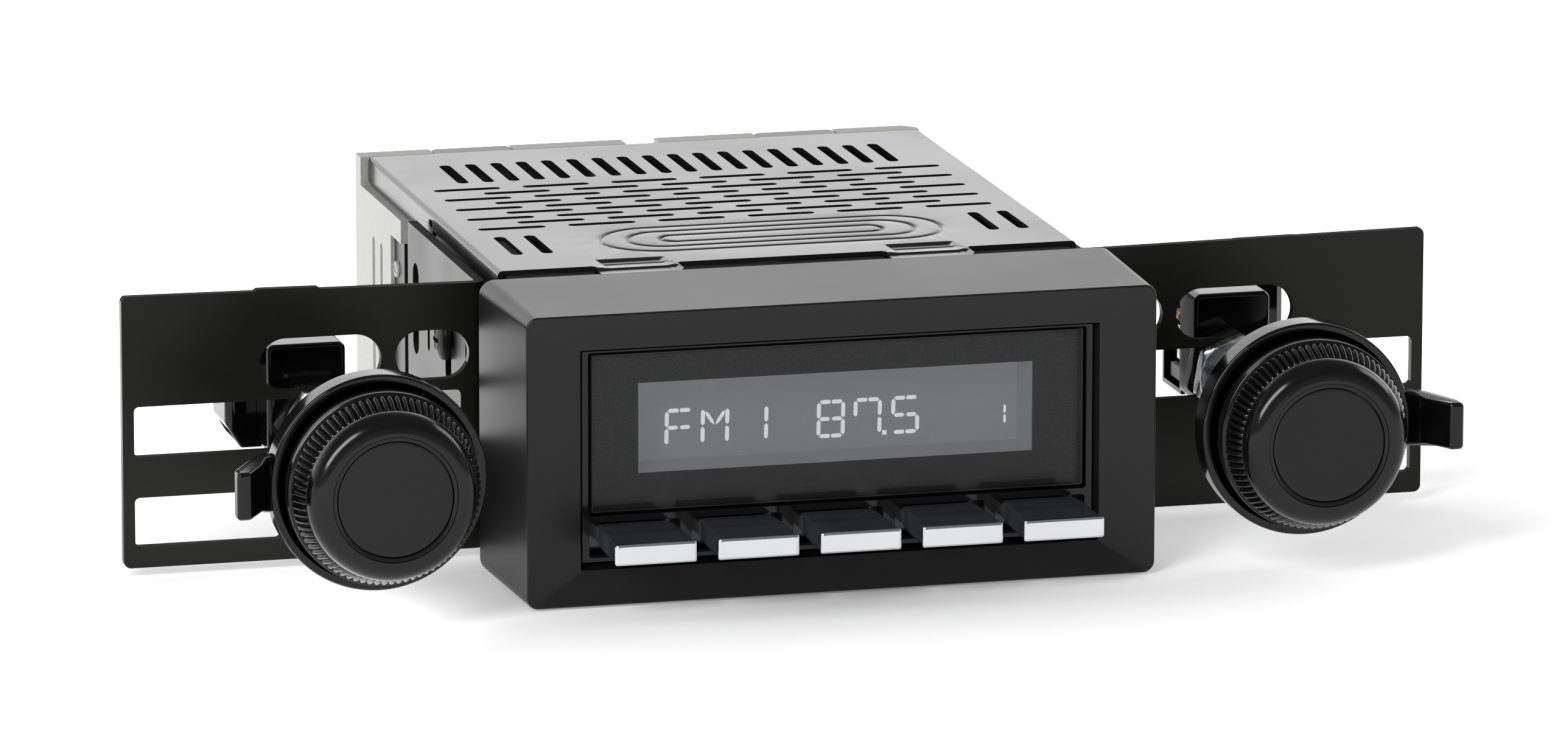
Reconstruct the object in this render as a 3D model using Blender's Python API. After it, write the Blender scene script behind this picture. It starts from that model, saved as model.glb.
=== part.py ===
"""Shaft-mounted car radio, built as separate pieces with real joints.

Sizes are in millimetres and become metres when a mesh is made.  While modelling, X = 0 is the middle
of the front bezel, Y = 0 is the bezel's front plane with Y growing towards the back of the car's
dashboard, and Z = 0 is the surface that the radio stands on.  An empty then moves the whole radio so
that its origin lies under the middle of its overall box.
"""
import math

import bmesh
import bpy
from mathutils import Vector

MM = 0.001
GAP = 0.3                       # air left between pieces that touch in the real radio
SMOOTH_ANGLE = math.radians(35)
ROUND_STEPS = 32                # sides of a large turned piece
SMALL_STEPS = 16                # sides of a small turned piece

# Overall places along Y
KNOB_FRONT_Y = -16.6
SOCKET_REAR_Y = 156.6
FRAME_MID_Y = (KNOB_FRONT_Y + SOCKET_REAR_Y) / 2

# Bezel
BEZEL_FRONT_HALF = 58.0
BEZEL_REAR_HALF = 59.2
BEZEL_DEPTH = 31.5
BEZEL_FRONT_Z = (0.39, 53.34)
BEZEL_REAR_Z = (0.0, 53.75)
BEZEL_CORNER = 3.2
OPENING_HALF = 47.8
OPENING_Z = (6.74, 46.59)
OPENING_Y = 1.5
LIP_REAR_Y = 5.2

# Face panel, display and push buttons
PANEL_FRONT_Y = 3.5
PANEL_BLOCK_HALF = 46.9
PANEL_BLOCK_Z = (7.6, 45.85)
LENS_POCKET_HALF = 45.8
LENS_POCKET_Z = (16.15, 45.5)
PANEL_PLATE_HALF = 49.6
PANEL_PLATE_Z = (5.0, 48.3)
PANEL_PLATE_Y = (5.5, 7.3)
LENS_HALF = 45.1
LENS_Z = (16.8, 45.0)
LENS_Y = (3.4, 5.2)
DISPLAY_WINDOW_HALF = 36.4
DISPLAY_WINDOW_Z = (23.0, 39.4)
TUNNEL_WALL = 1.6
TUNNEL_REAR_Y = 10.3
DISPLAY_HALF = 39.5
DISPLAY_Z = (20.5, 42.0)
DISPLAY_Y = (10.7, 12.5)
BACKLIGHT_Y = (12.8, 15.0)
FRONT_BOARD_HALF = 47.5
FRONT_BOARD_Z = (7.0, 48.0)
FRONT_BOARD_Y = (15.4, 17.0)
BUTTON_COUNT = 5
BUTTON_PITCH = 18.73
BUTTON_Z = 12.4
BUTTON_CAP_SIZE = (14.9, 3.8)
BUTTON_FRONT_Y = -12.5
BUTTON_BODY_FRONT_Y = -11.2
BUTTON_TRAVEL = 1.5
BUTTON_SLOT_HALF = 8.3
BUTTON_SLOT_Z = (8.4, 14.75)
BUTTON_STEM_Y = 10.0
SWITCH_Y = 12.0

# Front housing, chassis and cover
HOUSING_HALF = 50.5
HOUSING_Z = (4.2, 50.4)
HOUSING_Y = (7.6, 37.9)
HOUSING_WALL = 1.8
CHASSIS_HALF = 53.0
CHASSIS_Z = (3.75, 52.4)
CHASSIS_Y = (38.4, 144.6)
CHASSIS_SHEET = 1.0
COVER_HALF = 54.1
COVER_TOP = 53.75
COVER_SHEET = 0.8
COVER_FLANGE_Z = 49.0
FRONT_TAB_Y = 32.1
FRONT_TABS_X = ((-36.1, -20.9), (18.0, 33.4))
REAR_TAB_Y = 149.0
REAR_TABS_X = ((-41.0, -26.0), (22.2, 37.6))
BACK_SLOT_COUNT = 18
BACK_SLOT_PITCH = 4.87
BACK_SLOT_Y = (116.2, 133.4)
WIDE_SLOT = 2.15
BRICK_ROWS = 9
BRICK_ROW_PITCH = 4.5
BRICK_FIRST_Y = 74.5
BRICK_PITCH = 16.98
BRICK_LENGTH = 12.7
BRICK_WIDTH = 1.7
CORNER_SLOTS_X = (42.0, 47.6)
CORNER_SLOT_Y = (51.3, 67.4)
SLOT_SHIFT = -0.45

# Heat sink at the back and along the left rear side
SINK_REAR_Y = (144.9, 149.3)
SINK_LEFT = -55.55
SINK_RIGHT = 53.9
SINK_SIDE_INNER = -49.5
SINK_SIDE_FRONT_Y = 110.7
SINK_STEP_Z = 48.4
SINK_TOP = 53.75
RIGHT_CHAMFER = 2.3
SIDE_GROOVES = ((117.6, 3.4, 44.5), (127.3, 1.9, 40.8), (133.9, 2.1, 40.8))
SIDE_GROOVE_DEPTH = 1.0
SIDE_GROOVE_FOOT = 8.0
FIN_COUNT = 7
FIN_PITCH = 3.6
FIN_FIRST_X = 28.5
FIN_GROOVE = 1.9
FIN_DEPTH = 2.4
SINK_NOTCH_X = (-3.8, 2.6)

# Sockets in the back wall
POWER_SOCKET_X = (-41.0, -11.0)
POWER_SOCKET_Z = (11.4, 32.4)
POWER_SOCKET_REAR_Y = 151.0
PHONO_SOCKET_X = (0.0, 20.0)
PHONO_SOCKET_Z = (11.4, 31.4)
PHONO_BARREL_X = (5.0, 15.0)
PHONO_BARREL_Z = (16.4, 26.4)
PHONO_BARREL_RADIUS = 4.1
PHONO_BORE_RADIUS = 2.2
PHONO_BORE_DEPTH = 9.0
ANTENNA_X = -22.0
ANTENNA_Z = 42.0
ANTENNA_RADIUS = 5.6
ANTENNA_BORE_RADIUS = 4.1
ANTENNA_REAR_Y = 152.5
SOCKET_FRONT_Y = 131.0

# Side brackets
PLATE_Y = (42.84, 44.64)
PLATE_OUTER = 122.1
PLATE_Z = (1.79, 51.79)
FLANGE_X = (55.2, 57.0)
FLANGE_REAR_Y = 98.5
FLANGE_STEP_Y = 47.0
FLANGE_TOP_Z = 50.9
BEND_OUTER = 2.4
BEND_INNER = 0.6
OVAL_SLOT_X = (74.6, 97.0)
OVAL_SLOT_Z = (32.94, 42.54)
SHORT_SLOT_X = (58.4, 72.0)
SHORT_SLOT_Z = (33.5, 42.6)
SHAFT_WINDOW_X = (60.0, 120.0)
SHAFT_WINDOW_Z = (22.19, 31.39)
LOWER_WINDOW_X = (93.2, 120.0)
LOWER_WINDOW_Z = (5.7, 14.7)
FLANGE_SLOTS_Y = (65.6, 92.0)
FLANGE_SLOT_WIDTH = 4.7
FLANGE_SLOT_UPPER_Z = (27.2, 44.3)
FLANGE_SLOT_LOWER_Z = (5.0, 22.1)
SCREW_Z = 35.75
SCREW_HEAD_RADIUS = 3.9
SCREW_RADIUS = 1.9
STANDOFF_RADIUS = 3.2

# Control modules behind the bracket plates
AXIS_X = 85.4
AXIS_Z = 25.9
BUSHING_RADIUS = 3.4
BUSHING_BORE = 2.8
BUSHING_Y = (31.0, 50.4)
NUT_ACROSS_FLATS = 14.8
NUT_THICKNESS = 3.1
POD_X = (79.9, 94.4)
POD_Z = (19.6, 40.1)
POD_Y = (48.3, 57.7)
MODULE_X = (80.3, 100.0)
MODULE_Z = (19.2, 40.4)
MODULE_Y = (58.0, 70.0)
MODULE_CHAMFER = 4.5
MODULE_WALL = 1.3

# Shafts, lever rings and knobs, turned about the control axis
SLEEVE_RADIUS = 2.5
SLEEVE_BORE = 1.8
SLEEVE_Y = (-0.9, 50.0)
SHAFT_RADIUS = 1.5
SHAFT_Y = (-12.0, 52.6)
PLUNGER_Y = (52.9, 54.4)
KNOB_TRAVEL = 0.9
KNOB_RADIUS = 17.45
KNOB_SHOULDER_RADIUS = 15.3
KNOB_SHOULDER_DEPTH = 3.9
KNOB_RIM_DEPTH = 8.6
KNOB_REAR_Y = -4.6
INLAY_RADIUS = 10.3
RING_RADIUS = 19.5
RING_Y = (-3.0, 2.2)
RING_FLOOR_Y = 0.3
PADDLE_TIP_RADIUS = 27.1
PADDLE_FRONT_Y = -11.2
PADDLE_HEIGHT = 8.6
PADDLE_RISE = 0.8


# ---------------------------------------------------------------- outlines

def rounded_rectangle(low, high, radius, steps=3):
    """Outline of a rectangle with round corners, counter-clockwise."""
    centres = (
        (high[0] - radius, high[1] - radius, 0),
        (low[0] + radius, high[1] - radius, 90),
        (low[0] + radius, low[1] + radius, 180),
        (high[0] - radius, low[1] + radius, 270),
    )
    outline = []
    for centre_u, centre_v, start in centres:
        for step in range(steps + 1):
            angle = math.radians(start + 90 * step / steps)
            outline.append((centre_u + radius * math.cos(angle), centre_v + radius * math.sin(angle)))
    return outline


def stadium(low, high, steps=4):
    """Outline of a slot with fully round ends along its longer side."""
    width = high[0] - low[0]
    height = high[1] - low[1]
    radius = min(width, height) / 2
    middle = ((low[0] + high[0]) / 2, (low[1] + high[1]) / 2)
    reach = max(width, height) / 2 - radius
    along = (1, 0) if width > height else (0, 1)
    outline = []
    for end, start in ((1, -90), (-1, 90)):
        for step in range(steps + 1):
            angle = math.radians(start + 180 * step / steps)
            forward = end * reach + radius * math.cos(angle)
            sideways = radius * math.sin(angle)
            outline.append((
                middle[0] + along[0] * forward - along[1] * sideways,
                middle[1] + along[1] * forward + along[0] * sideways,
            ))
    return outline


def rectangle(low, high):
    return [(low[0], low[1]), (high[0], low[1]), (high[0], high[1]), (low[0], high[1])]


def hexagon(centre, across_flats):
    radius = across_flats / math.sqrt(3)
    return [
        (centre[0] + radius * math.cos(math.radians(60 * corner)),
         centre[1] + radius * math.sin(math.radians(60 * corner)))
        for corner in range(6)
    ]


def circle(centre, radius, steps=SMALL_STEPS):
    return [
        (centre[0] + radius * math.cos(math.tau * step / steps),
         centre[1] + radius * math.sin(math.tau * step / steps))
        for step in range(steps)
    ]


# ---------------------------------------------------------------- solids

def place(axis, outline_point, height):
    """A point of an outline drawn square to an axis, at a height along it."""
    u, v = outline_point
    if axis == "X":
        return (height, u, v)
    if axis == "Y":
        return (u, height, v)
    return (u, v, height)


def add_loft(shape, rings, closed=False):
    """Skin a row of rings; closed joins the last ring to the first, otherwise both ends are capped."""
    made = [[shape.verts.new(Vector(point) * MM) for point in ring] for ring in rings]
    pairs = list(zip(made, made[1:]))
    if closed:
        pairs.append((made[-1], made[0]))
    for first, second in pairs:
        for corner in range(len(first)):
            following = (corner + 1) % len(first)
            shape.faces.new((first[corner], first[following], second[following], second[corner]))
    if not closed:
        shape.faces.new(made[0][::-1])
        shape.faces.new(made[-1])


def add_prism(shape, axis, outline, span):
    add_loft(shape, [[place(axis, point, height) for point in outline] for height in span])


def add_box(shape, low, high):
    add_prism(shape, "Z", rectangle(low[:2], high[:2]), (low[2], high[2]))


def add_turned(shape, profile, steps, closed=False, centre=(0.0, 0.0)):
    """Turn a profile of (radius, y) points about an axis along Y that passes through centre (x, z)."""
    rings = []
    for radius, along in profile:
        rings.append([place("Y", point, along) for point in circle(centre, radius, steps)])
    add_loft(shape, rings, closed)


def build(name, draw, material, parent, location=(0, 0, 0)):
    """Make one object from a drawing function that fills an empty bmesh."""
    shape = bmesh.new()
    draw(shape)
    bmesh.ops.recalc_face_normals(shape, faces=shape.faces)
    mesh = bpy.data.meshes.new(name)
    shape.to_mesh(mesh)
    shape.free()
    mesh.shade_smooth()
    mesh.set_sharp_from_angle(angle=SMOOTH_ANGLE)
    mesh.materials.append(material)
    piece = bpy.data.objects.new(name, mesh)
    bpy.context.scene.collection.objects.link(piece)
    piece.location = Vector(location) * MM
    piece.parent = parent
    return piece


def combine(piece, draw, operation):
    """Cut or join a second shape, drawn in the piece's own frame and named after its drawing function."""
    tool = build(f"{piece.name}_{draw.__name__}", draw, piece.data.materials[0], piece.parent)
    tool.location = piece.location
    tool.hide_render = True
    tool.display_type = "WIRE"
    boolean = piece.modifiers.new(draw.__name__, "BOOLEAN")
    boolean.operation = operation
    boolean.object = tool


def cut(piece, draw):
    combine(piece, draw, "DIFFERENCE")


def join(piece, draw):
    combine(piece, draw, "UNION")


def empty(name, parent, location=(0, 0, 0)):
    guide = bpy.data.objects.new(name, None)
    bpy.context.scene.collection.objects.link(guide)
    guide.location = Vector(location) * MM
    guide.parent = parent
    return guide


def paint(name, colour, roughness, metallic=0.0, alpha=1.0):
    material = bpy.data.materials.new(name)
    material.use_nodes = True
    shader = material.node_tree.nodes["Principled BSDF"]
    shader.inputs["Base Color"].default_value = (*colour, 1.0)
    shader.inputs["Roughness"].default_value = roughness
    shader.inputs["Metallic"].default_value = metallic
    shader.inputs["Alpha"].default_value = alpha
    return material


SATIN_BLACK = ((0.028, 0.028, 0.029), 0.42)
GLOSS_BLACK = ((0.008, 0.008, 0.009), 0.12)
STEEL_BLACK = ((0.012, 0.012, 0.012), 0.35)
CHROME = ((0.86, 0.87, 0.88), 0.06, 1.0)
ZINC = ((0.62, 0.63, 0.64), 0.32, 1.0)
CAST_ALUMINIUM = ((0.60, 0.60, 0.58), 0.55, 1.0)
CIRCUIT_GREEN = ((0.03, 0.16, 0.07), 0.45)
CONNECTOR_BLACK = ((0.02, 0.02, 0.02), 0.5)


# ---------------------------------------------------------------- front of the radio

def bezel_ring(half, z_span, radius, y):
    outline = rounded_rectangle((-half, z_span[0]), (half, z_span[1]), radius)
    return [place("Y", point, y) for point in outline]


def inset(z_span, amount):
    return (z_span[0] + amount, z_span[1] - amount)


def make_bezel(root):
    """Nose shell, open at the back, whose front frame dishes in to the display opening."""
    wall = 2.2

    def draw(shape):
        add_loft(shape, [
            bezel_ring(BEZEL_REAR_HALF, BEZEL_REAR_Z, BEZEL_CORNER, BEZEL_DEPTH),
            bezel_ring(BEZEL_FRONT_HALF, BEZEL_FRONT_Z, BEZEL_CORNER, 0.7),
            bezel_ring(BEZEL_FRONT_HALF - 0.6, inset(BEZEL_FRONT_Z, 0.6), BEZEL_CORNER - 0.5, 0.0),
            bezel_ring(OPENING_HALF, OPENING_Z, 1.0, OPENING_Y),
            bezel_ring(OPENING_HALF - 0.6, inset(OPENING_Z, 0.5), 1.0, LIP_REAR_Y),
            bezel_ring(OPENING_HALF + 1.6, inset(OPENING_Z, -1.6), 1.6, LIP_REAR_Y),
            bezel_ring(OPENING_HALF + 2.0, inset(OPENING_Z, -2.0), 1.6, 4.0),
            bezel_ring(BEZEL_FRONT_HALF - wall, inset(BEZEL_FRONT_Z, wall), 1.6, 2.9),
            bezel_ring(BEZEL_REAR_HALF - wall, inset(BEZEL_REAR_Z, wall), 1.6, BEZEL_DEPTH),
        ], closed=True)

    build("bezel", draw, paint("bezel_satin_black", *SATIN_BLACK), root)


def button_centres():
    middle = (BUTTON_COUNT - 1) / 2
    return [(index - middle) * BUTTON_PITCH for index in range(BUTTON_COUNT)]


def make_face_panel(root):
    """Inner panel with the display window and one opening for each push button."""
    def plate(shape):
        low = (-PANEL_PLATE_HALF, PANEL_PLATE_Z[0])
        high = (PANEL_PLATE_HALF, PANEL_PLATE_Z[1])
        add_prism(shape, "Y", rounded_rectangle(low, high, 1.0), PANEL_PLATE_Y)

    def block(shape):
        add_box(shape, (-PANEL_BLOCK_HALF, PANEL_FRONT_Y, PANEL_BLOCK_Z[0]),
                (PANEL_BLOCK_HALF, PANEL_PLATE_Y[0] + 1.0, PANEL_BLOCK_Z[1]))

    def tunnel(shape):
        half = DISPLAY_WINDOW_HALF + TUNNEL_WALL
        add_box(shape, (-half, PANEL_PLATE_Y[0] + 1.0, DISPLAY_WINDOW_Z[0] - TUNNEL_WALL),
                (half, TUNNEL_REAR_Y, DISPLAY_WINDOW_Z[1] + TUNNEL_WALL))

    def lens_pocket(shape):
        add_box(shape, (-LENS_POCKET_HALF, PANEL_FRONT_Y - 1, LENS_POCKET_Z[0]),
                (LENS_POCKET_HALF, PANEL_PLATE_Y[0], LENS_POCKET_Z[1]))

    def openings(shape):
        add_box(shape, (-DISPLAY_WINDOW_HALF, PANEL_FRONT_Y - 1, DISPLAY_WINDOW_Z[0]),
                (DISPLAY_WINDOW_HALF, TUNNEL_REAR_Y + 1, DISPLAY_WINDOW_Z[1]))
        for x in button_centres():
            add_box(shape, (x - BUTTON_SLOT_HALF, PANEL_FRONT_Y - 1, BUTTON_SLOT_Z[0]),
                    (x + BUTTON_SLOT_HALF, PANEL_PLATE_Y[1] + 1, BUTTON_SLOT_Z[1]))

    panel = build("face_panel", plate, paint("panel_gloss_black", *GLOSS_BLACK), root)
    join(panel, block)
    join(panel, tunnel)
    cut(panel, lens_pocket)
    cut(panel, openings)


def make_display(root):
    """Smoked lens, display glass, backlight and the board that carries them."""
    def lens(shape):
        outline = rounded_rectangle((-LENS_HALF, LENS_Z[0]), (LENS_HALF, LENS_Z[1]), 0.8)
        add_prism(shape, "Y", outline, LENS_Y)

    def glass(shape):
        add_box(shape, (-DISPLAY_HALF, DISPLAY_Y[0], DISPLAY_Z[0]),
                (DISPLAY_HALF, DISPLAY_Y[1], DISPLAY_Z[1]))

    def backlight(shape):
        add_box(shape, (-DISPLAY_HALF, BACKLIGHT_Y[0], DISPLAY_Z[0]),
                (DISPLAY_HALF, BACKLIGHT_Y[1], DISPLAY_Z[1]))

    def board(shape):
        add_box(shape, (-FRONT_BOARD_HALF, FRONT_BOARD_Y[0], FRONT_BOARD_Z[0]),
                (FRONT_BOARD_HALF, FRONT_BOARD_Y[1], FRONT_BOARD_Z[1]))

    build("display_lens", lens, paint("smoked_lens", (0.02, 0.02, 0.022), 0.05, alpha=0.55), root)
    build("lcd_panel", glass, paint("display_grey", (0.17, 0.18, 0.19), 0.25), root)
    build("backlight_panel", backlight, paint("backlight_white", (0.75, 0.76, 0.74), 0.5), root)
    build("front_circuit_board", board, paint("front_board_green", *CIRCUIT_GREEN), root)


def make_button(root, index, x):
    """Black push button with a retaining flange, its stem, and the chrome cap on its front."""
    cap_half = BUTTON_CAP_SIZE[0] / 2
    body_half = cap_half - 0.25
    flange_y = (7.7, 8.9)
    top_rear = 2.0
    top_front = 1.75

    def body_ring(half, below, above, y):
        return [place("Y", point, y) for point in rectangle((-half, -below), (half, above))]

    def body(shape):
        add_loft(shape, [
            body_ring(body_half, 1.75, top_front, BUTTON_BODY_FRONT_Y),
            body_ring(body_half, 1.9, top_front + 0.1, -7.0),
            body_ring(body_half, 2.0, top_rear, 0.0),
            body_ring(body_half, 2.0, top_rear, flange_y[0]),
            body_ring(8.6, 3.4, 3.6, flange_y[0]),
            body_ring(8.6, 3.4, 3.6, flange_y[1]),
            body_ring(2.0, 1.5, 1.5, flange_y[1]),
            body_ring(2.0, 1.5, 1.5, BUTTON_STEM_Y),
        ])

    def cap(shape):
        half_height = BUTTON_CAP_SIZE[1] / 2
        bevel = 0.35
        rear = BUTTON_BODY_FRONT_Y - GAP
        add_loft(shape, [
            body_ring(cap_half, half_height, half_height, rear),
            body_ring(cap_half, half_height, half_height, BUTTON_FRONT_Y + bevel),
            body_ring(cap_half - bevel, half_height - bevel, half_height - bevel, BUTTON_FRONT_Y),
        ])

    number = index + 1
    place_at = (x, 0, BUTTON_Z)
    build(f"push_button_{number}", body, paint(f"button_black_{number}", *GLOSS_BLACK), root, place_at)
    build(f"button_cap_{number}", cap, paint(f"button_chrome_{number}", *CHROME), root, place_at)


def make_switch_strip(root):
    """Strip of five tact switches behind the buttons."""
    switch_half = 3.0
    base_y = (13.0, 15.1)

    def base(shape):
        add_box(shape, (-45.0, base_y[0], BUTTON_Z - switch_half), (45.0, base_y[1], BUTTON_Z + switch_half))

    def switches(shape):
        for x in button_centres():
            add_box(shape, (x - switch_half, SWITCH_Y, BUTTON_Z - switch_half + 0.2),
                    (x + switch_half, base_y[0] + 0.5, BUTTON_Z + switch_half - 0.2))

    strip = build("button_switch_strip", base, paint("switch_black", *CONNECTOR_BLACK), root)
    join(strip, switches)


def make_front_housing(root):
    """Deep tub behind the face that joins it to the chassis, with a window for the ribbon cable."""
    def tub_ring(margin, y):
        low = (-HOUSING_HALF + margin, HOUSING_Z[0] + margin)
        high = (HOUSING_HALF - margin, HOUSING_Z[1] - margin)
        return [place("Y", point, y) for point in rounded_rectangle(low, high, 1.5, 2)]

    def tub(shape):
        add_loft(shape, [
            tub_ring(HOUSING_WALL, HOUSING_Y[1] - HOUSING_WALL),
            tub_ring(HOUSING_WALL, HOUSING_Y[0]),
            tub_ring(0, HOUSING_Y[0]),
            tub_ring(0, HOUSING_Y[1]),
        ])

    def cable_window(shape):
        add_box(shape, (-15, HOUSING_Y[1] - HOUSING_WALL - 1, 20), (15, HOUSING_Y[1] + 1, 28))

    housing = build("front_housing", tub, paint("housing_black", *SATIN_BLACK), root)
    cut(housing, cable_window)


# ---------------------------------------------------------------- body of the radio

def make_chassis(root):
    """Folded steel tray with a front wall, cut away on the left for the heat sink."""
    sheet = CHASSIS_SHEET

    def solid(shape):
        add_box(shape, (-CHASSIS_HALF, CHASSIS_Y[0], CHASSIS_Z[0]),
                (CHASSIS_HALF, CHASSIS_Y[1], CHASSIS_Z[1]))

    def hollow(shape):
        add_box(shape, (-CHASSIS_HALF + sheet, CHASSIS_Y[0] + sheet, CHASSIS_Z[0] + sheet),
                (CHASSIS_HALF - sheet, CHASSIS_Y[1] + 5, CHASSIS_Z[1] + 5))

    def heat_sink_clearance(shape):
        add_box(shape, (-CHASSIS_HALF - 5, SINK_SIDE_FRONT_Y - GAP, CHASSIS_Z[0] - 5),
                (SINK_SIDE_INNER + GAP, CHASSIS_Y[1] + 5, SINK_STEP_Z + GAP))

    def standoffs(shape):
        for side in (-1, 1):
            for y in FLANGE_SLOTS_Y:
                span = sorted((side * (CHASSIS_HALF - 0.5), side * (FLANGE_X[0] - GAP)))
                add_prism(shape, "X", circle((y, SCREW_Z), STANDOFF_RADIUS, 16), span)

    def holes(shape):
        for side in (-1, 1):
            for y in FLANGE_SLOTS_Y:
                span = sorted((side * (CHASSIS_HALF - 5), side * (CHASSIS_HALF + 5)))
                add_prism(shape, "X", circle((y, SCREW_Z), SCREW_RADIUS + GAP, 12), span)
        add_box(shape, (-15, CHASSIS_Y[0] - 1, 20), (15, CHASSIS_Y[0] + sheet + 1, 28))

    tray = build("chassis_tray", solid, paint("chassis_black_steel", *STEEL_BLACK), root)
    cut(tray, hollow)
    cut(tray, heat_sink_clearance)
    join(tray, standoffs)
    cut(tray, holes)


def slot_outlines():
    """Every ventilation slot in the cover, as (low, high) corners."""
    slots = []
    middle = (BACK_SLOT_COUNT - 1) / 2
    half = WIDE_SLOT / 2
    for index in range(BACK_SLOT_COUNT):
        x = (index - middle) * BACK_SLOT_PITCH + SLOT_SHIFT
        slots.append(((x - half, BACK_SLOT_Y[0]), (x + half, BACK_SLOT_Y[1])))
    for side in (-1, 1):
        for distance in CORNER_SLOTS_X:
            x = side * distance + SLOT_SHIFT
            slots.append(((x - half, CORNER_SLOT_Y[0]), (x + half, CORNER_SLOT_Y[1])))
    for row in range(BRICK_ROWS):
        count = 6 - row % 2
        y = BRICK_FIRST_Y + row * BRICK_ROW_PITCH
        for index in range(count):
            x = (index - (count - 1) / 2) * BRICK_PITCH + SLOT_SHIFT
            slots.append(((x - BRICK_LENGTH / 2, y - BRICK_WIDTH / 2),
                          (x + BRICK_LENGTH / 2, y + BRICK_WIDTH / 2)))
    return slots


def make_cover(root):
    """Slotted steel lid with side flanges, two front tabs and two rear tabs."""
    inner_half = COVER_HALF - COVER_SHEET
    inner_top = COVER_TOP - COVER_SHEET
    bend = 0.7
    channel = [
        (-COVER_HALF, COVER_FLANGE_Z), (-inner_half, COVER_FLANGE_Z), (-inner_half, inner_top),
        (inner_half, inner_top), (inner_half, COVER_FLANGE_Z), (COVER_HALF, COVER_FLANGE_Z),
        (COVER_HALF, COVER_TOP - bend), (COVER_HALF - bend, COVER_TOP),
        (-COVER_HALF + bend, COVER_TOP), (-COVER_HALF, COVER_TOP - bend),
    ]

    def sheet(shape):
        add_prism(shape, "Y", channel, (FRONT_TAB_Y, REAR_TAB_Y))

    def waste(shape):
        bottom = COVER_FLANGE_Z - 5
        top = COVER_TOP + 5
        outside = COVER_HALF + 5
        front_gaps = ((-outside, FRONT_TABS_X[0][0]), (FRONT_TABS_X[0][1], FRONT_TABS_X[1][0]),
                      (FRONT_TABS_X[1][1], outside))
        rear_gaps = ((-outside, REAR_TABS_X[0][0]), (REAR_TABS_X[0][1], REAR_TABS_X[1][0]),
                     (REAR_TABS_X[1][1], outside))
        for left, right in front_gaps:
            add_box(shape, (left, FRONT_TAB_Y - 5, bottom), (right, CHASSIS_Y[0], top))
        for left, right in rear_gaps:
            add_box(shape, (left, CHASSIS_Y[1], bottom), (right, REAR_TAB_Y + 5, top))

    def slots(shape):
        for low, high in slot_outlines():
            add_prism(shape, "Z", stadium(low, high, 2), (inner_top - 2, COVER_TOP + 2))

    cover = build("top_cover", sheet, paint("cover_black_steel", *STEEL_BLACK), root)
    cut(cover, waste)
    cut(cover, slots)


def make_heat_sink(root):
    """Cast aluminium back wall that wraps forward along the left rear side."""
    outline = [
        (SINK_LEFT, SINK_SIDE_FRONT_Y), (SINK_SIDE_INNER, SINK_SIDE_FRONT_Y),
        (SINK_SIDE_INNER, SINK_REAR_Y[0]), (SINK_RIGHT, SINK_REAR_Y[0]),
        (SINK_RIGHT, SINK_REAR_Y[1] - RIGHT_CHAMFER), (SINK_RIGHT - RIGHT_CHAMFER, SINK_REAR_Y[1]),
        (SINK_LEFT, SINK_REAR_Y[1]),
    ]

    def casting(shape):
        add_prism(shape, "Z", outline, (0.0, SINK_TOP))

    def cover_clearance(shape):
        add_box(shape, (SINK_LEFT - 5, SINK_SIDE_FRONT_Y - 5, SINK_STEP_Z),
                (SINK_SIDE_INNER + 5, SINK_REAR_Y[0], SINK_TOP + 5))

    def recesses(shape):
        tab_floor = COVER_TOP - COVER_SHEET - GAP
        for left, right in REAR_TABS_X:
            add_box(shape, (left - GAP, SINK_REAR_Y[0] - 1, tab_floor),
                    (right + GAP, SINK_REAR_Y[1] + 1, SINK_TOP + 5))
        add_box(shape, (SINK_NOTCH_X[0], SINK_REAR_Y[0] - 1, SINK_TOP - 3),
                (SINK_NOTCH_X[1], SINK_REAR_Y[1] + 1, SINK_TOP + 5))
        for y, width, top in SIDE_GROOVES:
            add_box(shape, (SINK_LEFT - 5, y - width / 2, SIDE_GROOVE_FOOT),
                    (SINK_LEFT + SIDE_GROOVE_DEPTH, y + width / 2, top))
        for index in range(FIN_COUNT):
            x = FIN_FIRST_X + index * FIN_PITCH
            add_box(shape, (x - FIN_GROOVE / 2, SINK_REAR_Y[1] - FIN_DEPTH, 4.0),
                    (x + FIN_GROOVE / 2, SINK_REAR_Y[1] + 5, SINK_TOP - 4.0))

    def socket_windows(shape):
        for span_x, span_z in ((POWER_SOCKET_X, POWER_SOCKET_Z), (PHONO_SOCKET_X, PHONO_SOCKET_Z)):
            add_box(shape, (span_x[0] - GAP, SINK_REAR_Y[0] - 1, span_z[0] - GAP),
                    (span_x[1] + GAP, SINK_REAR_Y[1] + 1, span_z[1] + GAP))
        add_prism(shape, "Y", circle((ANTENNA_X, ANTENNA_Z), ANTENNA_RADIUS + GAP),
                  (SINK_REAR_Y[0] - 1, SINK_REAR_Y[1] + 1))

    sink = build("rear_heat_sink", casting, paint("cast_aluminium", *CAST_ALUMINIUM), root)
    cut(sink, cover_clearance)
    cut(sink, recesses)
    cut(sink, socket_windows)


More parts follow.
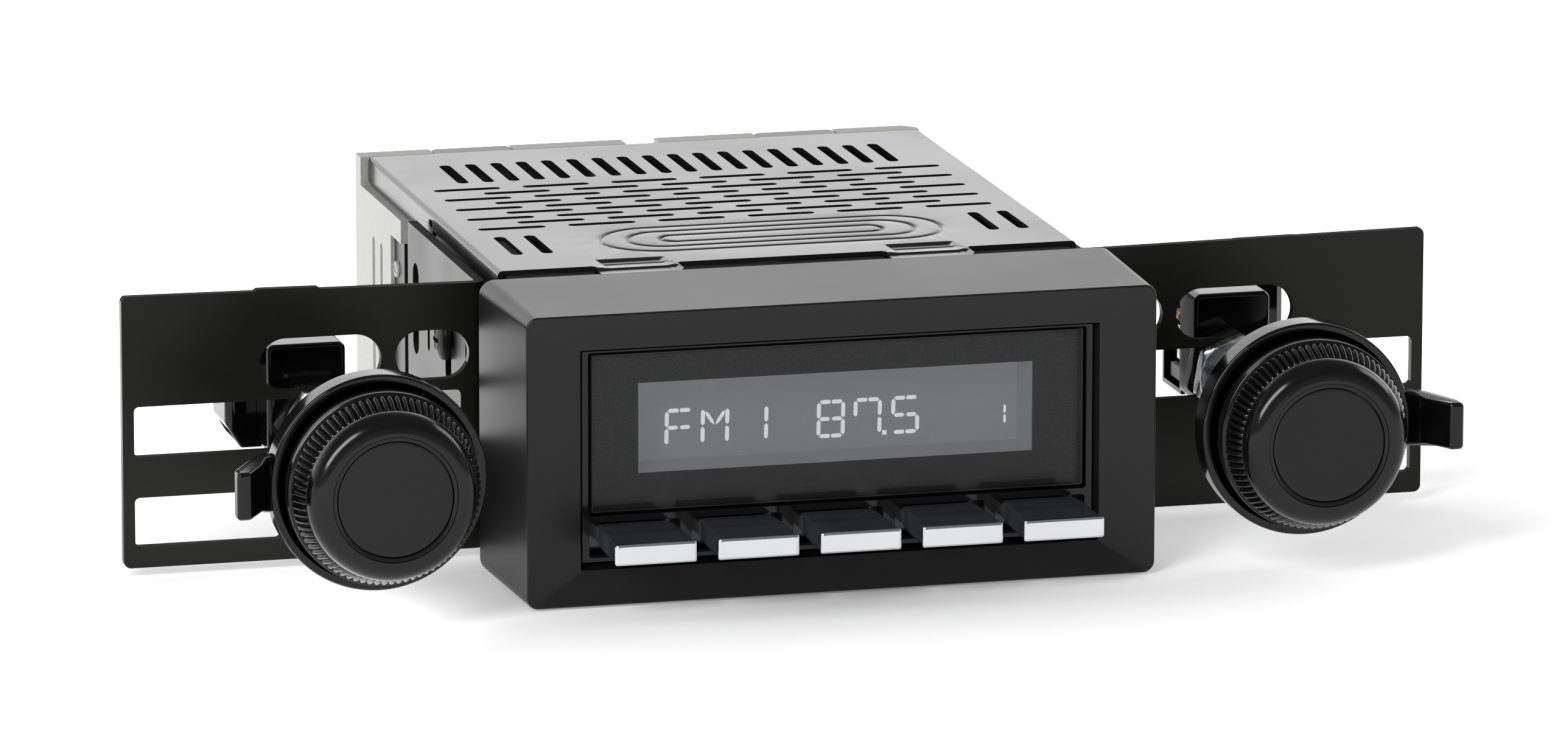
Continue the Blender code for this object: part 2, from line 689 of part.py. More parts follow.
def make_sockets(root):
    """Power and speaker connector, four phono sockets and the antenna socket."""
    wall = 1.8

    def power_shell(shape):
        add_box(shape, (POWER_SOCKET_X[0], SOCKET_FRONT_Y, POWER_SOCKET_Z[0]),
                (POWER_SOCKET_X[1], POWER_SOCKET_REAR_Y, POWER_SOCKET_Z[1]))

    def power_cavity(shape):
        add_box(shape, (POWER_SOCKET_X[0] + wall, SOCKET_FRONT_Y + 8, POWER_SOCKET_Z[0] + wall),
                (POWER_SOCKET_X[1] - wall, POWER_SOCKET_REAR_Y + 1, POWER_SOCKET_Z[1] - wall))

    def phono_block(shape):
        add_box(shape, (PHONO_SOCKET_X[0], SOCKET_FRONT_Y, PHONO_SOCKET_Z[0]),
                (PHONO_SOCKET_X[1], SINK_REAR_Y[1], PHONO_SOCKET_Z[1]))

    def phono_barrels(shape):
        for x in PHONO_BARREL_X:
            for z in PHONO_BARREL_Z:
                add_prism(shape, "Y", circle((x, z), PHONO_BARREL_RADIUS),
                          (SINK_REAR_Y[1] - 2, SOCKET_REAR_Y))

    def phono_bores(shape):
        for x in PHONO_BARREL_X:
            for z in PHONO_BARREL_Z:
                add_prism(shape, "Y", circle((x, z), PHONO_BORE_RADIUS),
                          (SOCKET_REAR_Y - PHONO_BORE_DEPTH, SOCKET_REAR_Y + 1))

    def antenna(shape):
        add_turned(shape, [
            (ANTENNA_BORE_RADIUS, SOCKET_FRONT_Y + 4), (ANTENNA_BORE_RADIUS, ANTENNA_REAR_Y),
            (ANTENNA_RADIUS, ANTENNA_REAR_Y), (ANTENNA_RADIUS, SOCKET_FRONT_Y),
        ], SMALL_STEPS, centre=(ANTENNA_X, ANTENNA_Z))

    power = build("power_socket", power_shell, paint("power_socket_black", *CONNECTOR_BLACK), root)
    cut(power, power_cavity)
    phono = build("phono_sockets", phono_block, paint("phono_socket_black", *CONNECTOR_BLACK), root)
    join(phono, phono_barrels)
    cut(phono, phono_bores)
    build("antenna_socket", antenna, paint("antenna_zinc", *ZINC), root)


def make_electronics(root):
    """Main board and the largest parts on it."""
    board_z = (9.5, 11.1)

    def board(shape):
        add_box(shape, (-46.0, 44.0, board_z[0]), (46.0, SINK_REAR_Y[0] - 15, board_z[1]))

    def tuner(shape):
        add_box(shape, (10.0, 60.0, board_z[1] + GAP), (38.0, 92.0, 25.0))

    def amplifier(shape):
        add_box(shape, (26.0, SINK_REAR_Y[0] - 5, 14.0), (46.0, SINK_REAR_Y[0] - GAP, 38.0))

    def capacitor(shape):
        add_prism(shape, "Z", circle((-28.0, 62.0), 8.0), (board_z[1] + GAP, 36.0))

    build("main_circuit_board", board, paint("main_board_green", *CIRCUIT_GREEN), root)
    build("tuner_module", tuner, paint("tuner_tinplate", *ZINC), root)
    build("power_amplifier", amplifier, paint("amplifier_black", *CONNECTOR_BLACK), root)
    build("filter_capacitor", capacitor, paint("capacitor_sleeve", (0.02, 0.03, 0.08), 0.35), root)


# ---------------------------------------------------------------- side brackets and controls

def bend(centre, radius, angles, steps=4):
    """Quarter circle in the plan view, from the first angle to the second, in degrees."""
    points = []
    for step in range(steps + 1):
        angle = math.radians(angles[0] + (angles[1] - angles[0]) * step / steps)
        points.append((centre[0] + radius * math.cos(angle), centre[1] - radius * math.sin(angle)))
    return points


def bracket_outline(side):
    """Plan view of the folded plate: a long face and a flange that runs back along the chassis."""
    outer_bend = (FLANGE_X[0] + BEND_OUTER, PLATE_Y[0] + BEND_OUTER)
    inner_bend = (FLANGE_X[1] + BEND_INNER, PLATE_Y[1] + BEND_INNER)
    outline = [(PLATE_OUTER, PLATE_Y[0]), (PLATE_OUTER, PLATE_Y[1])]
    outline += bend(inner_bend, BEND_INNER, (90, 180))
    outline += [(FLANGE_X[1], FLANGE_REAR_Y), (FLANGE_X[0], FLANGE_REAR_Y)]
    outline += bend(outer_bend, BEND_OUTER, (180, 90))
    return [(side * x, y) for x, y in outline]


def side_span(side, span):
    return sorted((side * span[0], side * span[1]))


def make_bracket(name, side, root):
    """Folded steel mounting bracket with its windows and slots, and the screws that clamp it."""
    def sheet(shape):
        add_prism(shape, "Z", bracket_outline(side), PLATE_Z)

    def plate_windows(shape):
        through = (PLATE_Y[0] - 3, PLATE_Y[1] + 3)
        for span_x, span_z in ((OVAL_SLOT_X, OVAL_SLOT_Z), (SHORT_SLOT_X, SHORT_SLOT_Z)):
            low_x, high_x = side_span(side, span_x)
            add_prism(shape, "Y", stadium((low_x, span_z[0]), (high_x, span_z[1]), 6), through)
        for span_x, span_z in ((SHAFT_WINDOW_X, SHAFT_WINDOW_Z), (LOWER_WINDOW_X, LOWER_WINDOW_Z)):
            low_x, high_x = side_span(side, span_x)
            add_prism(shape, "Y", rounded_rectangle((low_x, span_z[0]), (high_x, span_z[1]), 1.0, 2), through)

    def flange_slots(shape):
        through = side_span(side, (FLANGE_X[0] - 2, FLANGE_X[1] + 2))
        half = FLANGE_SLOT_WIDTH / 2
        for y in FLANGE_SLOTS_Y:
            for low, high in (FLANGE_SLOT_UPPER_Z, FLANGE_SLOT_LOWER_Z):
                add_prism(shape, "X", stadium((y - half, low), (y + half, high), 4), through)

    def flange_step(shape):
        low_x, high_x = side_span(side, (FLANGE_X[0] - 2, FLANGE_X[1] + 2))
        add_box(shape, (low_x, FLANGE_STEP_Y, FLANGE_TOP_Z), (high_x, FLANGE_REAR_Y + 5, PLATE_Z[1] + 5))

    bracket = build(f"{name}_side_bracket", sheet, paint(f"{name}_bracket_black", *STEEL_BLACK), root)
    cut(bracket, plate_windows)
    cut(bracket, flange_slots)
    cut(bracket, flange_step)
    return bracket


def make_bracket_screws(name, side, root):
    head = (FLANGE_X[1] + GAP, FLANGE_X[1] + GAP + 2.2)
    tip = CHASSIS_HALF - 3.5

    def screw(shape):
        rings = []
        for radius, x in ((SCREW_RADIUS, tip), (SCREW_RADIUS, head[0]), (SCREW_HEAD_RADIUS, head[0]),
                          (SCREW_HEAD_RADIUS, head[1] - 0.6), (SCREW_HEAD_RADIUS - 0.9, head[1])):
            rings.append([place("X", point, side * x) for point in circle((0, 0), radius, 16)])
        add_loft(shape, rings)

    for label, y in zip(("front", "rear"), FLANGE_SLOTS_Y):
        zinc = paint(f"{name}_screw_{label}_zinc", *ZINC)
        build(f"{name}_bracket_screw_{label}", screw, zinc, root, (0, y, SCREW_Z))


def make_control_module(name, side, slide):
    """Encoder with a threaded bushing, its two nuts, and the housings behind the bracket plate."""
    centre = (side * AXIS_X, AXIS_Z)

    def encoder_box(shape):
        low_x, high_x = side_span(side, (POD_X[0] + 1.5, POD_X[1] - 1.5))
        add_box(shape, (low_x, 49.9, 21.2), (high_x, POD_Y[1] - 1.2, 31.6))

    def bushing(shape):
        add_prism(shape, "Y", circle(centre, BUSHING_RADIUS), BUSHING_Y)

    def bore(shape):
        add_prism(shape, "Y", circle(centre, BUSHING_BORE), (BUSHING_Y[0] - 2, POD_Y[1] + 2))

    def nut_at(front):
        def nut(shape):
            add_prism(shape, "Y", hexagon(centre, NUT_ACROSS_FLATS), (front, front + NUT_THICKNESS))
        return nut

    def nut_bore(shape):
        add_prism(shape, "Y", circle(centre, BUSHING_RADIUS + GAP), (BUSHING_Y[0] - 2, POD_Y[1]))

    def pod(shape):
        low_x, high_x = side_span(side, POD_X)
        outer = rounded_rectangle((low_x, POD_Z[0]), (high_x, POD_Z[1]), 1.0, 2)
        inner = rounded_rectangle((low_x + 1.2, POD_Z[0] + 1.2), (high_x - 1.2, POD_Z[1] - 1.2), 0.5, 2)
        add_loft(shape, [
            [place("Y", point, POD_Y[0] + 1.2) for point in inner],
            [place("Y", point, POD_Y[1]) for point in inner],
            [place("Y", point, POD_Y[1]) for point in outer],
            [place("Y", point, POD_Y[0]) for point in outer],
        ])

    def module_outline(margin):
        low_x, high_x = MODULE_X[0] + margin, MODULE_X[1] - margin
        low_z, high_z = MODULE_Z[0] + margin, MODULE_Z[1] - margin
        chamfer = MODULE_CHAMFER - margin * 0.6
        points = [(low_x, low_z), (high_x - chamfer * 0.6, low_z), (high_x, low_z + chamfer),
                  (high_x, high_z), (low_x, high_z)]
        return [(side * x, z) for x, z in points]

    def module(shape):
        inner, outer = module_outline(MODULE_WALL), module_outline(0.0)
        add_loft(shape, [
            [place("Y", point, MODULE_Y[1] - MODULE_WALL) for point in inner],
            [place("Y", point, MODULE_Y[0]) for point in inner],
            [place("Y", point, MODULE_Y[0]) for point in outer],
            [place("Y", point, MODULE_Y[1]) for point in outer],
        ])

    def board(shape):
        low_x, high_x = side_span(side, (MODULE_X[0] + 1.8, MODULE_X[1] - 4.5))
        add_box(shape, (low_x, MODULE_Y[0] + 0.4, MODULE_Z[0] + 2.5),
                (high_x, MODULE_Y[0] + 2.0, MODULE_Z[1] - 1.8))

    encoder = build(f"{name}_encoder", encoder_box, paint(f"{name}_encoder_zinc", *ZINC), slide)
    join(encoder, bushing)
    cut(encoder, bore)
    for label, front in (("front", PLATE_Y[0] - GAP - NUT_THICKNESS), ("rear", PLATE_Y[1] + GAP)):
        zinc = paint(f"{name}_nut_{label}_zinc", *ZINC)
        nut = build(f"{name}_shaft_nut_{label}", nut_at(front), zinc, slide)
        cut(nut, nut_bore)
    pod_piece = build(f"{name}_control_pod", pod, paint(f"{name}_pod_black", *GLOSS_BLACK), slide)
    cut(pod_piece, nut_bore)
    build(f"{name}_control_housing", module, paint(f"{name}_housing_black", *SATIN_BLACK), slide)
    build(f"{name}_control_board", board, paint(f"{name}_board_green", *CIRCUIT_GREEN), slide)


def make_lever(name, side, axis):
    """Rear lever ring on its sleeve: a dished disc with one paddle that points away from the bezel."""
    rim = 1.6

    def sleeve(shape):
        add_turned(shape, [
            (SLEEVE_RADIUS, SLEEVE_Y[0]), (SLEEVE_RADIUS, SLEEVE_Y[1]),
            (SLEEVE_BORE, SLEEVE_Y[1]), (SLEEVE_BORE, SLEEVE_Y[0]),
        ], SMALL_STEPS, closed=True)

    def disc(shape):
        add_turned(shape, [
            (SLEEVE_RADIUS + GAP, RING_FLOOR_Y), (RING_RADIUS - rim - 0.3, RING_FLOOR_Y),
            (RING_RADIUS - rim, RING_Y[0]), (RING_RADIUS - 0.3, RING_Y[0]), (RING_RADIUS, RING_Y[0] + 0.3),
            (RING_RADIUS, RING_Y[1] - 0.4), (RING_RADIUS - 0.4, RING_Y[1]), (SLEEVE_RADIUS + GAP, RING_Y[1]),
        ], ROUND_STEPS, closed=True)

    def paddle(shape):
        outline = [
            (RING_RADIUS - 1.2, RING_Y[0] + 0.3), (RING_RADIUS + 0.6, RING_Y[0] - 0.2),
            (24.4, PADDLE_FRONT_Y + 0.5), (24.9, PADDLE_FRONT_Y), (26.6, PADDLE_FRONT_Y),
            (PADDLE_TIP_RADIUS, PADDLE_FRONT_Y + 0.6), (26.9, PADDLE_FRONT_Y + 3.0),
            (22.4, -1.2), (RING_RADIUS + 0.4, RING_Y[1] - 0.2), (RING_RADIUS - 1.2, RING_Y[1] - 0.2),
        ]
        half = PADDLE_HEIGHT / 2
        add_prism(shape, "Z", [(side * x, y) for x, y in outline], (PADDLE_RISE - half, PADDLE_RISE + half))

    build(f"{name}_lever_sleeve", sleeve, paint(f"{name}_sleeve_zinc", *ZINC), axis)
    ring = build(f"{name}_lever_ring", disc, paint(f"{name}_ring_black", *GLOSS_BLACK), axis)
    join(ring, paddle)


def make_knob(name, axis):
    """Rounded knob with a matte inlay, on the inner shaft with the push plunger behind it."""
    front = KNOB_FRONT_Y

    def knob(shape):
        add_turned(shape, [
            (INLAY_RADIUS + GAP, front + 1.3), (INLAY_RADIUS + GAP, front + 0.5),
            (INLAY_RADIUS + 1.0, front + 0.1),
            (12.4, front), (13.9, front + 0.7), (14.9, front + 2.1),
            (KNOB_SHOULDER_RADIUS, front + KNOB_SHOULDER_DEPTH),
            (KNOB_SHOULDER_RADIUS + 0.3, front + KNOB_SHOULDER_DEPTH + 0.3),
            (KNOB_RADIUS - 0.4, front + KNOB_RIM_DEPTH - 0.3), (KNOB_RADIUS, front + KNOB_RIM_DEPTH),
            (KNOB_RADIUS, KNOB_REAR_Y - 0.3), (KNOB_RADIUS - 0.3, KNOB_REAR_Y), (14.6, KNOB_REAR_Y),
            (13.2, front + 6.6), (4.6, front + 6.6), (4.6, KNOB_REAR_Y), (SHAFT_RADIUS + GAP, KNOB_REAR_Y),
            (SHAFT_RADIUS + GAP, SHAFT_Y[0] - GAP),
        ], ROUND_STEPS)

    def inlay(shape):
        add_turned(shape, [
            (INLAY_RADIUS, front + 1.0), (INLAY_RADIUS, front + 0.3), (INLAY_RADIUS - 0.2, front + 0.1),
        ], ROUND_STEPS)

    def shaft(shape):
        add_turned(shape, [(SHAFT_RADIUS, SHAFT_Y[0]), (SHAFT_RADIUS, SHAFT_Y[1])], SMALL_STEPS)

    def plunger(shape):
        add_turned(shape, [(SHAFT_RADIUS, PLUNGER_Y[0]), (SHAFT_RADIUS, PLUNGER_Y[1])], SMALL_STEPS)

    build(f"{name}_knob", knob, paint(f"{name}_knob_black", *GLOSS_BLACK), axis)
    build(f"{name}_knob_inlay", inlay, paint(f"{name}_inlay_black", *SATIN_BLACK), axis)
    build(f"{name}_knob_shaft", shaft, paint(f"{name}_shaft_zinc", *ZINC), axis)
    build(f"{name}_push_plunger", plunger, paint(f"{name}_plunger_white", (0.8, 0.8, 0.78), 0.5), axis)


def make_side(name, side, root):
    """One bracket with its screws, and the controls that slide along its window."""
    bracket_slide = empty(f"{name}_bracket_slide", root)
    module_slide = empty(f"{name}_module_slide", bracket_slide)
    control_axis = empty(f"{name}_control_axis", module_slide, (side * AXIS_X, 0, AXIS_Z))
    make_bracket(name, side, bracket_slide)
    make_bracket_screws(name, side, root)
    make_control_module(name, side, module_slide)
    make_lever(name, side, control_axis)
    make_knob(name, control_axis)


def main():
    for piece in list(bpy.data.objects):
        bpy.data.objects.remove(piece, do_unlink=True)
    root = empty("radio_frame", None, (0, -FRAME_MID_Y, 0))
    make_bezel(root)
    make_face_panel(root)
    make_display(root)
    for index, x in enumerate(button_centres()):
        make_button(root, index, x)
    make_switch_strip(root)
    make_front_housing(root)
    make_chassis(root)
    make_cover(root)
    make_heat_sink(root)
    make_sockets(root)
    make_electronics(root)
    make_side("left", -1, root)
    make_side("right", 1, root)


main()
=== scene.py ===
"""Looks of the shaft-mounted car radio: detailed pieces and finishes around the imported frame.

Drawing functions work in millimetres in the radio's own axes: X = 0 is the middle of the bezel, Y = 0 is
the bezel's front plane with Y growing towards the back, and Z = 0 is the surface that the radio stands on.
Places come from the CAD nodes' boxes.  A piece's mesh is moved into the row frame when it is made.
"""

import math

import bmesh
import bpy
from mathutils import Matrix, Vector
from mathutils.geometry import delaunay_2d_cdt


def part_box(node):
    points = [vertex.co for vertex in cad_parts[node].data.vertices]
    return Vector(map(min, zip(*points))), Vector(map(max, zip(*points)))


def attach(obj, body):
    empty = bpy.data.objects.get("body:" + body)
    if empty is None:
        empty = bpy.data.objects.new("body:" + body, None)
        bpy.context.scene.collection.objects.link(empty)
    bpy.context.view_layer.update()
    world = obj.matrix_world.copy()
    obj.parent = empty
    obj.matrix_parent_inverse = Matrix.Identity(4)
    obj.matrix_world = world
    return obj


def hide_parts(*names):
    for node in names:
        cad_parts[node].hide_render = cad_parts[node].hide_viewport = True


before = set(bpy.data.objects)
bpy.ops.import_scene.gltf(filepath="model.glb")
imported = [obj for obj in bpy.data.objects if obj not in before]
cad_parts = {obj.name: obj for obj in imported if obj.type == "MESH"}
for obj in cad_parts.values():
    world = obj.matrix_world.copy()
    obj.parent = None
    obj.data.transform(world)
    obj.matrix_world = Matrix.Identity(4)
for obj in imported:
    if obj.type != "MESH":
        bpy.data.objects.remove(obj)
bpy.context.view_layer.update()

MM = 0.001
FRONT_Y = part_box("bezel")[0].y
SMOOTH_ANGLE = math.radians(35)
SIDES = (("left", -1), ("right", 1))


# ---------------------------------------------------------------- places taken from the frame

def span(node, axis):
    """Lowest and highest place of a CAD node along one axis, in millimetres in the drawing axes."""
    low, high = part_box(node)
    index = "XYZ".index(axis)
    offset = FRONT_Y if axis == "Y" else 0.0
    return ((low[index] - offset) / MM, (high[index] - offset) / MM)


def corners(node):
    """Lowest and highest corner of a CAD node, in millimetres in the drawing axes."""
    return tuple(zip(*[span(node, axis) for axis in "XYZ"]))


def middle(node, axis):
    low, high = span(node, axis)
    return (low + high) / 2


def half_size(node, axis):
    low, high = span(node, axis)
    return (high - low) / 2


def axis_of(node):
    """Where a round node's axis, which runs along Y, crosses the XZ plane."""
    return (middle(node, "X"), middle(node, "Z"))


def outward(node):
    """How far a left or right node lies from the middle of the radio: nearest and furthest |x|."""
    low, high = span(node, "X")
    return tuple(sorted((abs(low), abs(high))))


# ---------------------------------------------------------------- outlines

def arc(centre, radius, first, last, steps=6):
    """Points on part of a circle, between two angles in degrees."""
    points = []
    for step in range(steps + 1):
        angle = math.radians(first + (last - first) * step / steps)
        points.append((centre[0] + radius * math.cos(angle), centre[1] + radius * math.sin(angle)))
    return points


def circle(centre, radius, steps=48):
    return [
        (centre[0] + radius * math.cos(math.tau * step / steps),
         centre[1] + radius * math.sin(math.tau * step / steps))
        for step in range(steps)
    ]


def rounded_rectangle(low, high, radius, steps=8):
    """Outline of a rectangle with round corners, counter-clockwise."""
    outline = arc((high[0] - radius, high[1] - radius), radius, 0, 90, steps)
    outline += arc((low[0] + radius, high[1] - radius), radius, 90, 180, steps)
    outline += arc((low[0] + radius, low[1] + radius), radius, 180, 270, steps)
    outline += arc((high[0] - radius, low[1] + radius), radius, 270, 360, steps)
    return outline


def stadium(low, high, steps=8):
    """Outline of a slot with fully round ends along its longer side."""
    return rounded_rectangle(low, high, min(high[0] - low[0], high[1] - low[1]) / 2 - 0.001, steps)


def centred_slot(middle_u, half, v_span, steps):
    """Outline of a slot that runs along the second axis, centred on a place on the first."""
    return stadium((middle_u - half, v_span[0]), (middle_u + half, v_span[1]), steps)


def cross_outline(centre, arm, half, turn):
    """Outline of a cross recess: arms of the given reach and half width, turned about the centre."""
    points = []
    for quarter in range(4):
        angle = turn + quarter * math.pi / 2
        along = Vector((math.cos(angle), math.sin(angle)))
        across = Vector((-along.y, along.x))
        for reach, offset in ((half, -half), (arm, -half), (arm, half)):
            points.append(tuple(Vector(centre) + along * reach + across * offset))
    return points


def flip(side, outline):
    """An outline drawn for the right side of the radio, on either side."""
    return [(side * u, v) for u, v in outline]


def grown(low, high, amount):
    return ((low[0] - amount, low[1] - amount), (high[0] + amount, high[1] + amount))


# ---------------------------------------------------------------- solids

def place(axis, outline_point, height):
    """A point of an outline drawn square to an axis, at a height along it."""
    u, v = outline_point
    if axis == "X":
        return (height, u, v)
    if axis == "Y":
        return (u, height, v)
    return (u, v, height)


def lay(outline, height, axis="Y"):
    """A ring for a loft: an outline at one height along an axis."""
    return [place(axis, point, height) for point in outline]


def to_frame(point):
    """From drawing millimetres to metres in the row frame."""
    return Vector((point[0] * MM, FRONT_Y + point[1] * MM, point[2] * MM))


def add_loft(shape, rings, closed=False):
    """Skin a row of rings; closed joins the last ring to the first, otherwise both ends are capped."""
    made = [[shape.verts.new(to_frame(point)) for point in ring] for ring in rings]
    pairs = list(zip(made, made[1:]))
    if closed:
        pairs.append((made[-1], made[0]))
    for first, second in pairs:
        for corner in range(len(first)):
            following = (corner + 1) % len(first)
            shape.faces.new((first[corner], first[following], second[following], second[corner]))
    if not closed:
        shape.faces.new(made[0][::-1])
        shape.faces.new(made[-1])


def add_prism(shape, axis, outline, ends):
    add_loft(shape, [lay(outline, height, axis) for height in ends])


def add_box(shape, low, high):
    outline = [(low[0], low[1]), (high[0], low[1]), (high[0], high[1]), (low[0], high[1])]
    add_prism(shape, "Z", outline, (low[2], high[2]))


def add_turned(shape, profile, centre=(0.0, 0.0), steps=96, closed=False, axis="Y"):
    """Turn a profile of (radius, height) points about an axis that passes through the centre."""
    add_loft(shape, [lay(circle(centre, radius, steps), height, axis) for radius, height in profile], closed)


def add_side_box(shape, side, low, high):
    """A box drawn for the right side of the radio, on either side."""
    low_x, high_x = sorted((side * low[0], side * high[0]))
    add_box(shape, (low_x, *low[1:]), (high_x, *high[1:]))


def mesh_from(name, draw):
    shape = bmesh.new()
    draw(shape)
    bmesh.ops.recalc_face_normals(shape, faces=shape.faces)
    mesh = bpy.data.meshes.new(name)
    shape.to_mesh(mesh)
    shape.free()
    return mesh


def settle(piece):
    """Turn a piece's modifiers into its mesh."""
    bpy.context.view_layer.update()
    depsgraph = bpy.context.evaluated_depsgraph_get()
    mesh = bpy.data.meshes.new_from_object(piece.evaluated_get(depsgraph))
    piece.modifiers.clear()
    old = piece.data
    piece.data = mesh
    bpy.data.meshes.remove(old)


def carve(piece, *draws, operation="DIFFERENCE"):
    """Cut drawn shapes out of a piece, or join them to it."""
    for draw in draws:
        tool = bpy.data.objects.new("tool", mesh_from("tool", draw))
        bpy.context.scene.collection.objects.link(tool)
        boolean = piece.modifiers.new("carve", "BOOLEAN")
        boolean.operation = operation
        boolean.object = tool
        settle(piece)
        bpy.data.objects.remove(tool)


def soften(piece, width, segments=3, angle=30):
    """Round a piece's sharp edges and keep its large faces flat in the shading."""
    bevel = piece.modifiers.new("soften", "BEVEL")
    bevel.width = width * MM
    bevel.segments = segments
    bevel.limit_method = "ANGLE"
    bevel.angle_limit = math.radians(angle)
    bevel.use_clamp_overlap = True
    bevel.miter_outer = "MITER_ARC"
    settle(piece)


def shade(piece):
    piece.data.shade_smooth()
    piece.data.set_sharp_from_angle(angle=SMOOTH_ANGLE)
    weighted = piece.modifiers.new("flat_faces", "WEIGHTED_NORMAL")
    weighted.keep_sharp = True


def make(name, draw, finish, body="radio_body", joins=(), cuts=(), bevel=0.0, segments=3, sheet=0.0,
         replaces=()):
    """Make one piece, join and cut it, round its edges, and let it ride on a body of the frame.

    A piece drawn as a bare skin grows inwards to the thickness of its sheet.
    """
    piece = bpy.data.objects.new(name, mesh_from(name, draw))
    bpy.context.scene.collection.objects.link(piece)
    carve(piece, *joins, operation="UNION")
    carve(piece, *cuts)
    if bevel:
        soften(piece, bevel, segments)
    if sheet:
        thickness = piece.modifiers.new("thickness", "SOLIDIFY")
        thickness.thickness = sheet * MM
        thickness.offset = -1.0
        settle(piece)
    shade(piece)
    material, slot = finish
    piece.data.materials.clear()
    piece.data.materials.append(material)
    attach(piece, body)
    if replaces:
        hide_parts(*replaces)
    return piece


def dress(node, finish, bevel=0.0):
    """Give a CAD node its finish, and round its edges."""
    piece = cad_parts[node]
    for material_slot in piece.material_slots:
        material_slot.material = finish[0]
    if bevel:
        rounding = piece.modifiers.new("soften", "BEVEL")
        rounding.width = bevel * MM
        rounding.segments = 2
        rounding.limit_method = "ANGLE"


# ---------------------------------------------------------------- finishes

def add_noise(tree, vector, size, detail):
    """Noise whose features have a size in millimetres."""
    noise = tree.nodes.new("ShaderNodeTexNoise")
    noise.inputs["Scale"].default_value = 1 / (size * MM)
    noise.inputs["Detail"].default_value = detail
    tree.links.new(vector, noise.inputs["Vector"])
    return noise.outputs["Fac"]


def add_range(tree, value, before, after, smooth=True):
    """Map a value from one range to another; smooth eases both ends."""
    mapped = tree.nodes.new("ShaderNodeMapRange")
    if smooth:
        mapped.interpolation_type = "SMOOTHSTEP"
    for name, number in zip(("From Min", "From Max", "To Min", "To Max"), (*before, *after)):
        mapped.inputs[name].default_value = number
    tree.links.new(value, mapped.inputs["Value"])
    return mapped.outputs["Result"]


def multiply_add(tree, first, second, added):
    """first * second + added; second may be a plain number."""
    node = tree.nodes.new("ShaderNodeMath")
    node.operation = "MULTIPLY_ADD"
    tree.links.new(first, node.inputs[0])
    if isinstance(second, float):
        node.inputs[1].default_value = second
    else:
        tree.links.new(second, node.inputs[1])
    tree.links.new(added, node.inputs[2])
    return node.outputs["Value"]


# The middle stretch of a noise's values, which holds nearly all of them
NOISE_RANGE = (0.3, 0.7)


def surface(name, colour, roughness, metallic=0.0, level=0.5, grain=0.25, relief=0.004, mottle=0.12,
            patch=9.0, smudge=0.05, stretch=(1.0, 1.0, 1.0), alpha=1.0, glow=0.0):
    """A procedural finish: a fine grain as relief, and broad soft patches in colour and roughness.

    grain and patch are feature sizes and relief is a height, all in millimetres.
    """
    material = bpy.data.materials.new(name)
    material.use_nodes = True
    tree = material.node_tree
    shader = tree.nodes["Principled BSDF"]
    shader.inputs["Metallic"].default_value = metallic
    shader.inputs["Specular IOR Level"].default_value = level
    shader.inputs["Alpha"].default_value = alpha
    if glow:
        shader.inputs["Emission Color"].default_value = (*colour, 1.0)
        shader.inputs["Emission Strength"].default_value = glow

    coordinates = tree.nodes.new("ShaderNodeTexCoord")
    mapping = tree.nodes.new("ShaderNodeMapping")
    mapping.inputs["Scale"].default_value = stretch
    tree.links.new(coordinates.outputs["Object"], mapping.inputs["Vector"])
    broad = add_noise(tree, mapping.outputs["Vector"], patch, 5.0)
    fine = add_noise(tree, mapping.outputs["Vector"], grain, 3.0)

    tint = tree.nodes.new("ShaderNodeValToRGB")
    for element, position, change in zip(tint.color_ramp.elements, NOISE_RANGE, (-mottle, mottle)):
        element.position = position
        element.color = (*[min(1.0, channel * (1 + change)) for channel in colour], 1.0)
    tree.links.new(broad, tint.inputs["Fac"])
    tree.links.new(tint.outputs["Color"], shader.inputs["Base Color"])

    worn = (max(0.0, roughness - smudge), roughness + smudge)
    tree.links.new(add_range(tree, broad, NOISE_RANGE, worn, smooth=False), shader.inputs["Roughness"])

    bump = tree.nodes.new("ShaderNodeBump")
    bump.inputs["Distance"].default_value = relief * MM
    tree.links.new(fine, bump.inputs["Height"])
    tree.links.new(bump.outputs["Normal"], shader.inputs["Normal"])
    return material


SATIN_PLASTIC = (surface("satin_plastic", (0.006, 0.006, 0.0062), 0.36, level=0.34, grain=0.22, relief=0.005,
                         patch=30.0, smudge=0.015), "bezel_black")
GLOSS_PLASTIC = (surface("gloss_plastic", (0.003, 0.003, 0.0035), 0.09, level=0.34, grain=0.6, relief=0.0006,
                         smudge=0.03), "gloss_black")
BUTTON_PLASTIC = (surface("button_plastic", (0.034, 0.037, 0.042), 0.06, grain=0.6, relief=0.0005,
                          smudge=0.02), "gloss_black")
MATTE_INLAY = (surface("matte_inlay", (0.006, 0.006, 0.0062), 0.5, level=0.34, grain=0.15, relief=0.006,
                       patch=20.0, smudge=0.02), "inlay_black")
BLACK_STEEL = (surface("black_steel", (0.008, 0.008, 0.007), 0.32, level=0.2, grain=0.35, relief=0.004,
                       patch=25.0), "steel_black")
COVER_PAINT = (surface("cover_paint", (0.010, 0.010, 0.010), 0.20, level=0.42, grain=0.5, relief=0.002,
                       patch=30.0), "cover_black")
CHROME = (surface("chrome", (0.70, 0.72, 0.72), 0.05, metallic=1.0, grain=0.8, relief=0.0004, mottle=0.02,
                  smudge=0.03), "chrome")
ZINC = (surface("zinc", (0.66, 0.67, 0.69), 0.26, metallic=1.0, grain=0.30, relief=0.012, mottle=0.15,
                patch=2.0, smudge=0.10, stretch=(1.0, 0.25, 1.0)), "zinc")
CAST_METAL = (surface("cast_metal", (0.42, 0.42, 0.40), 0.60, metallic=0.3, grain=0.35, relief=0.05,
                      mottle=0.12, patch=0.8, smudge=0.12), "cast_aluminium")
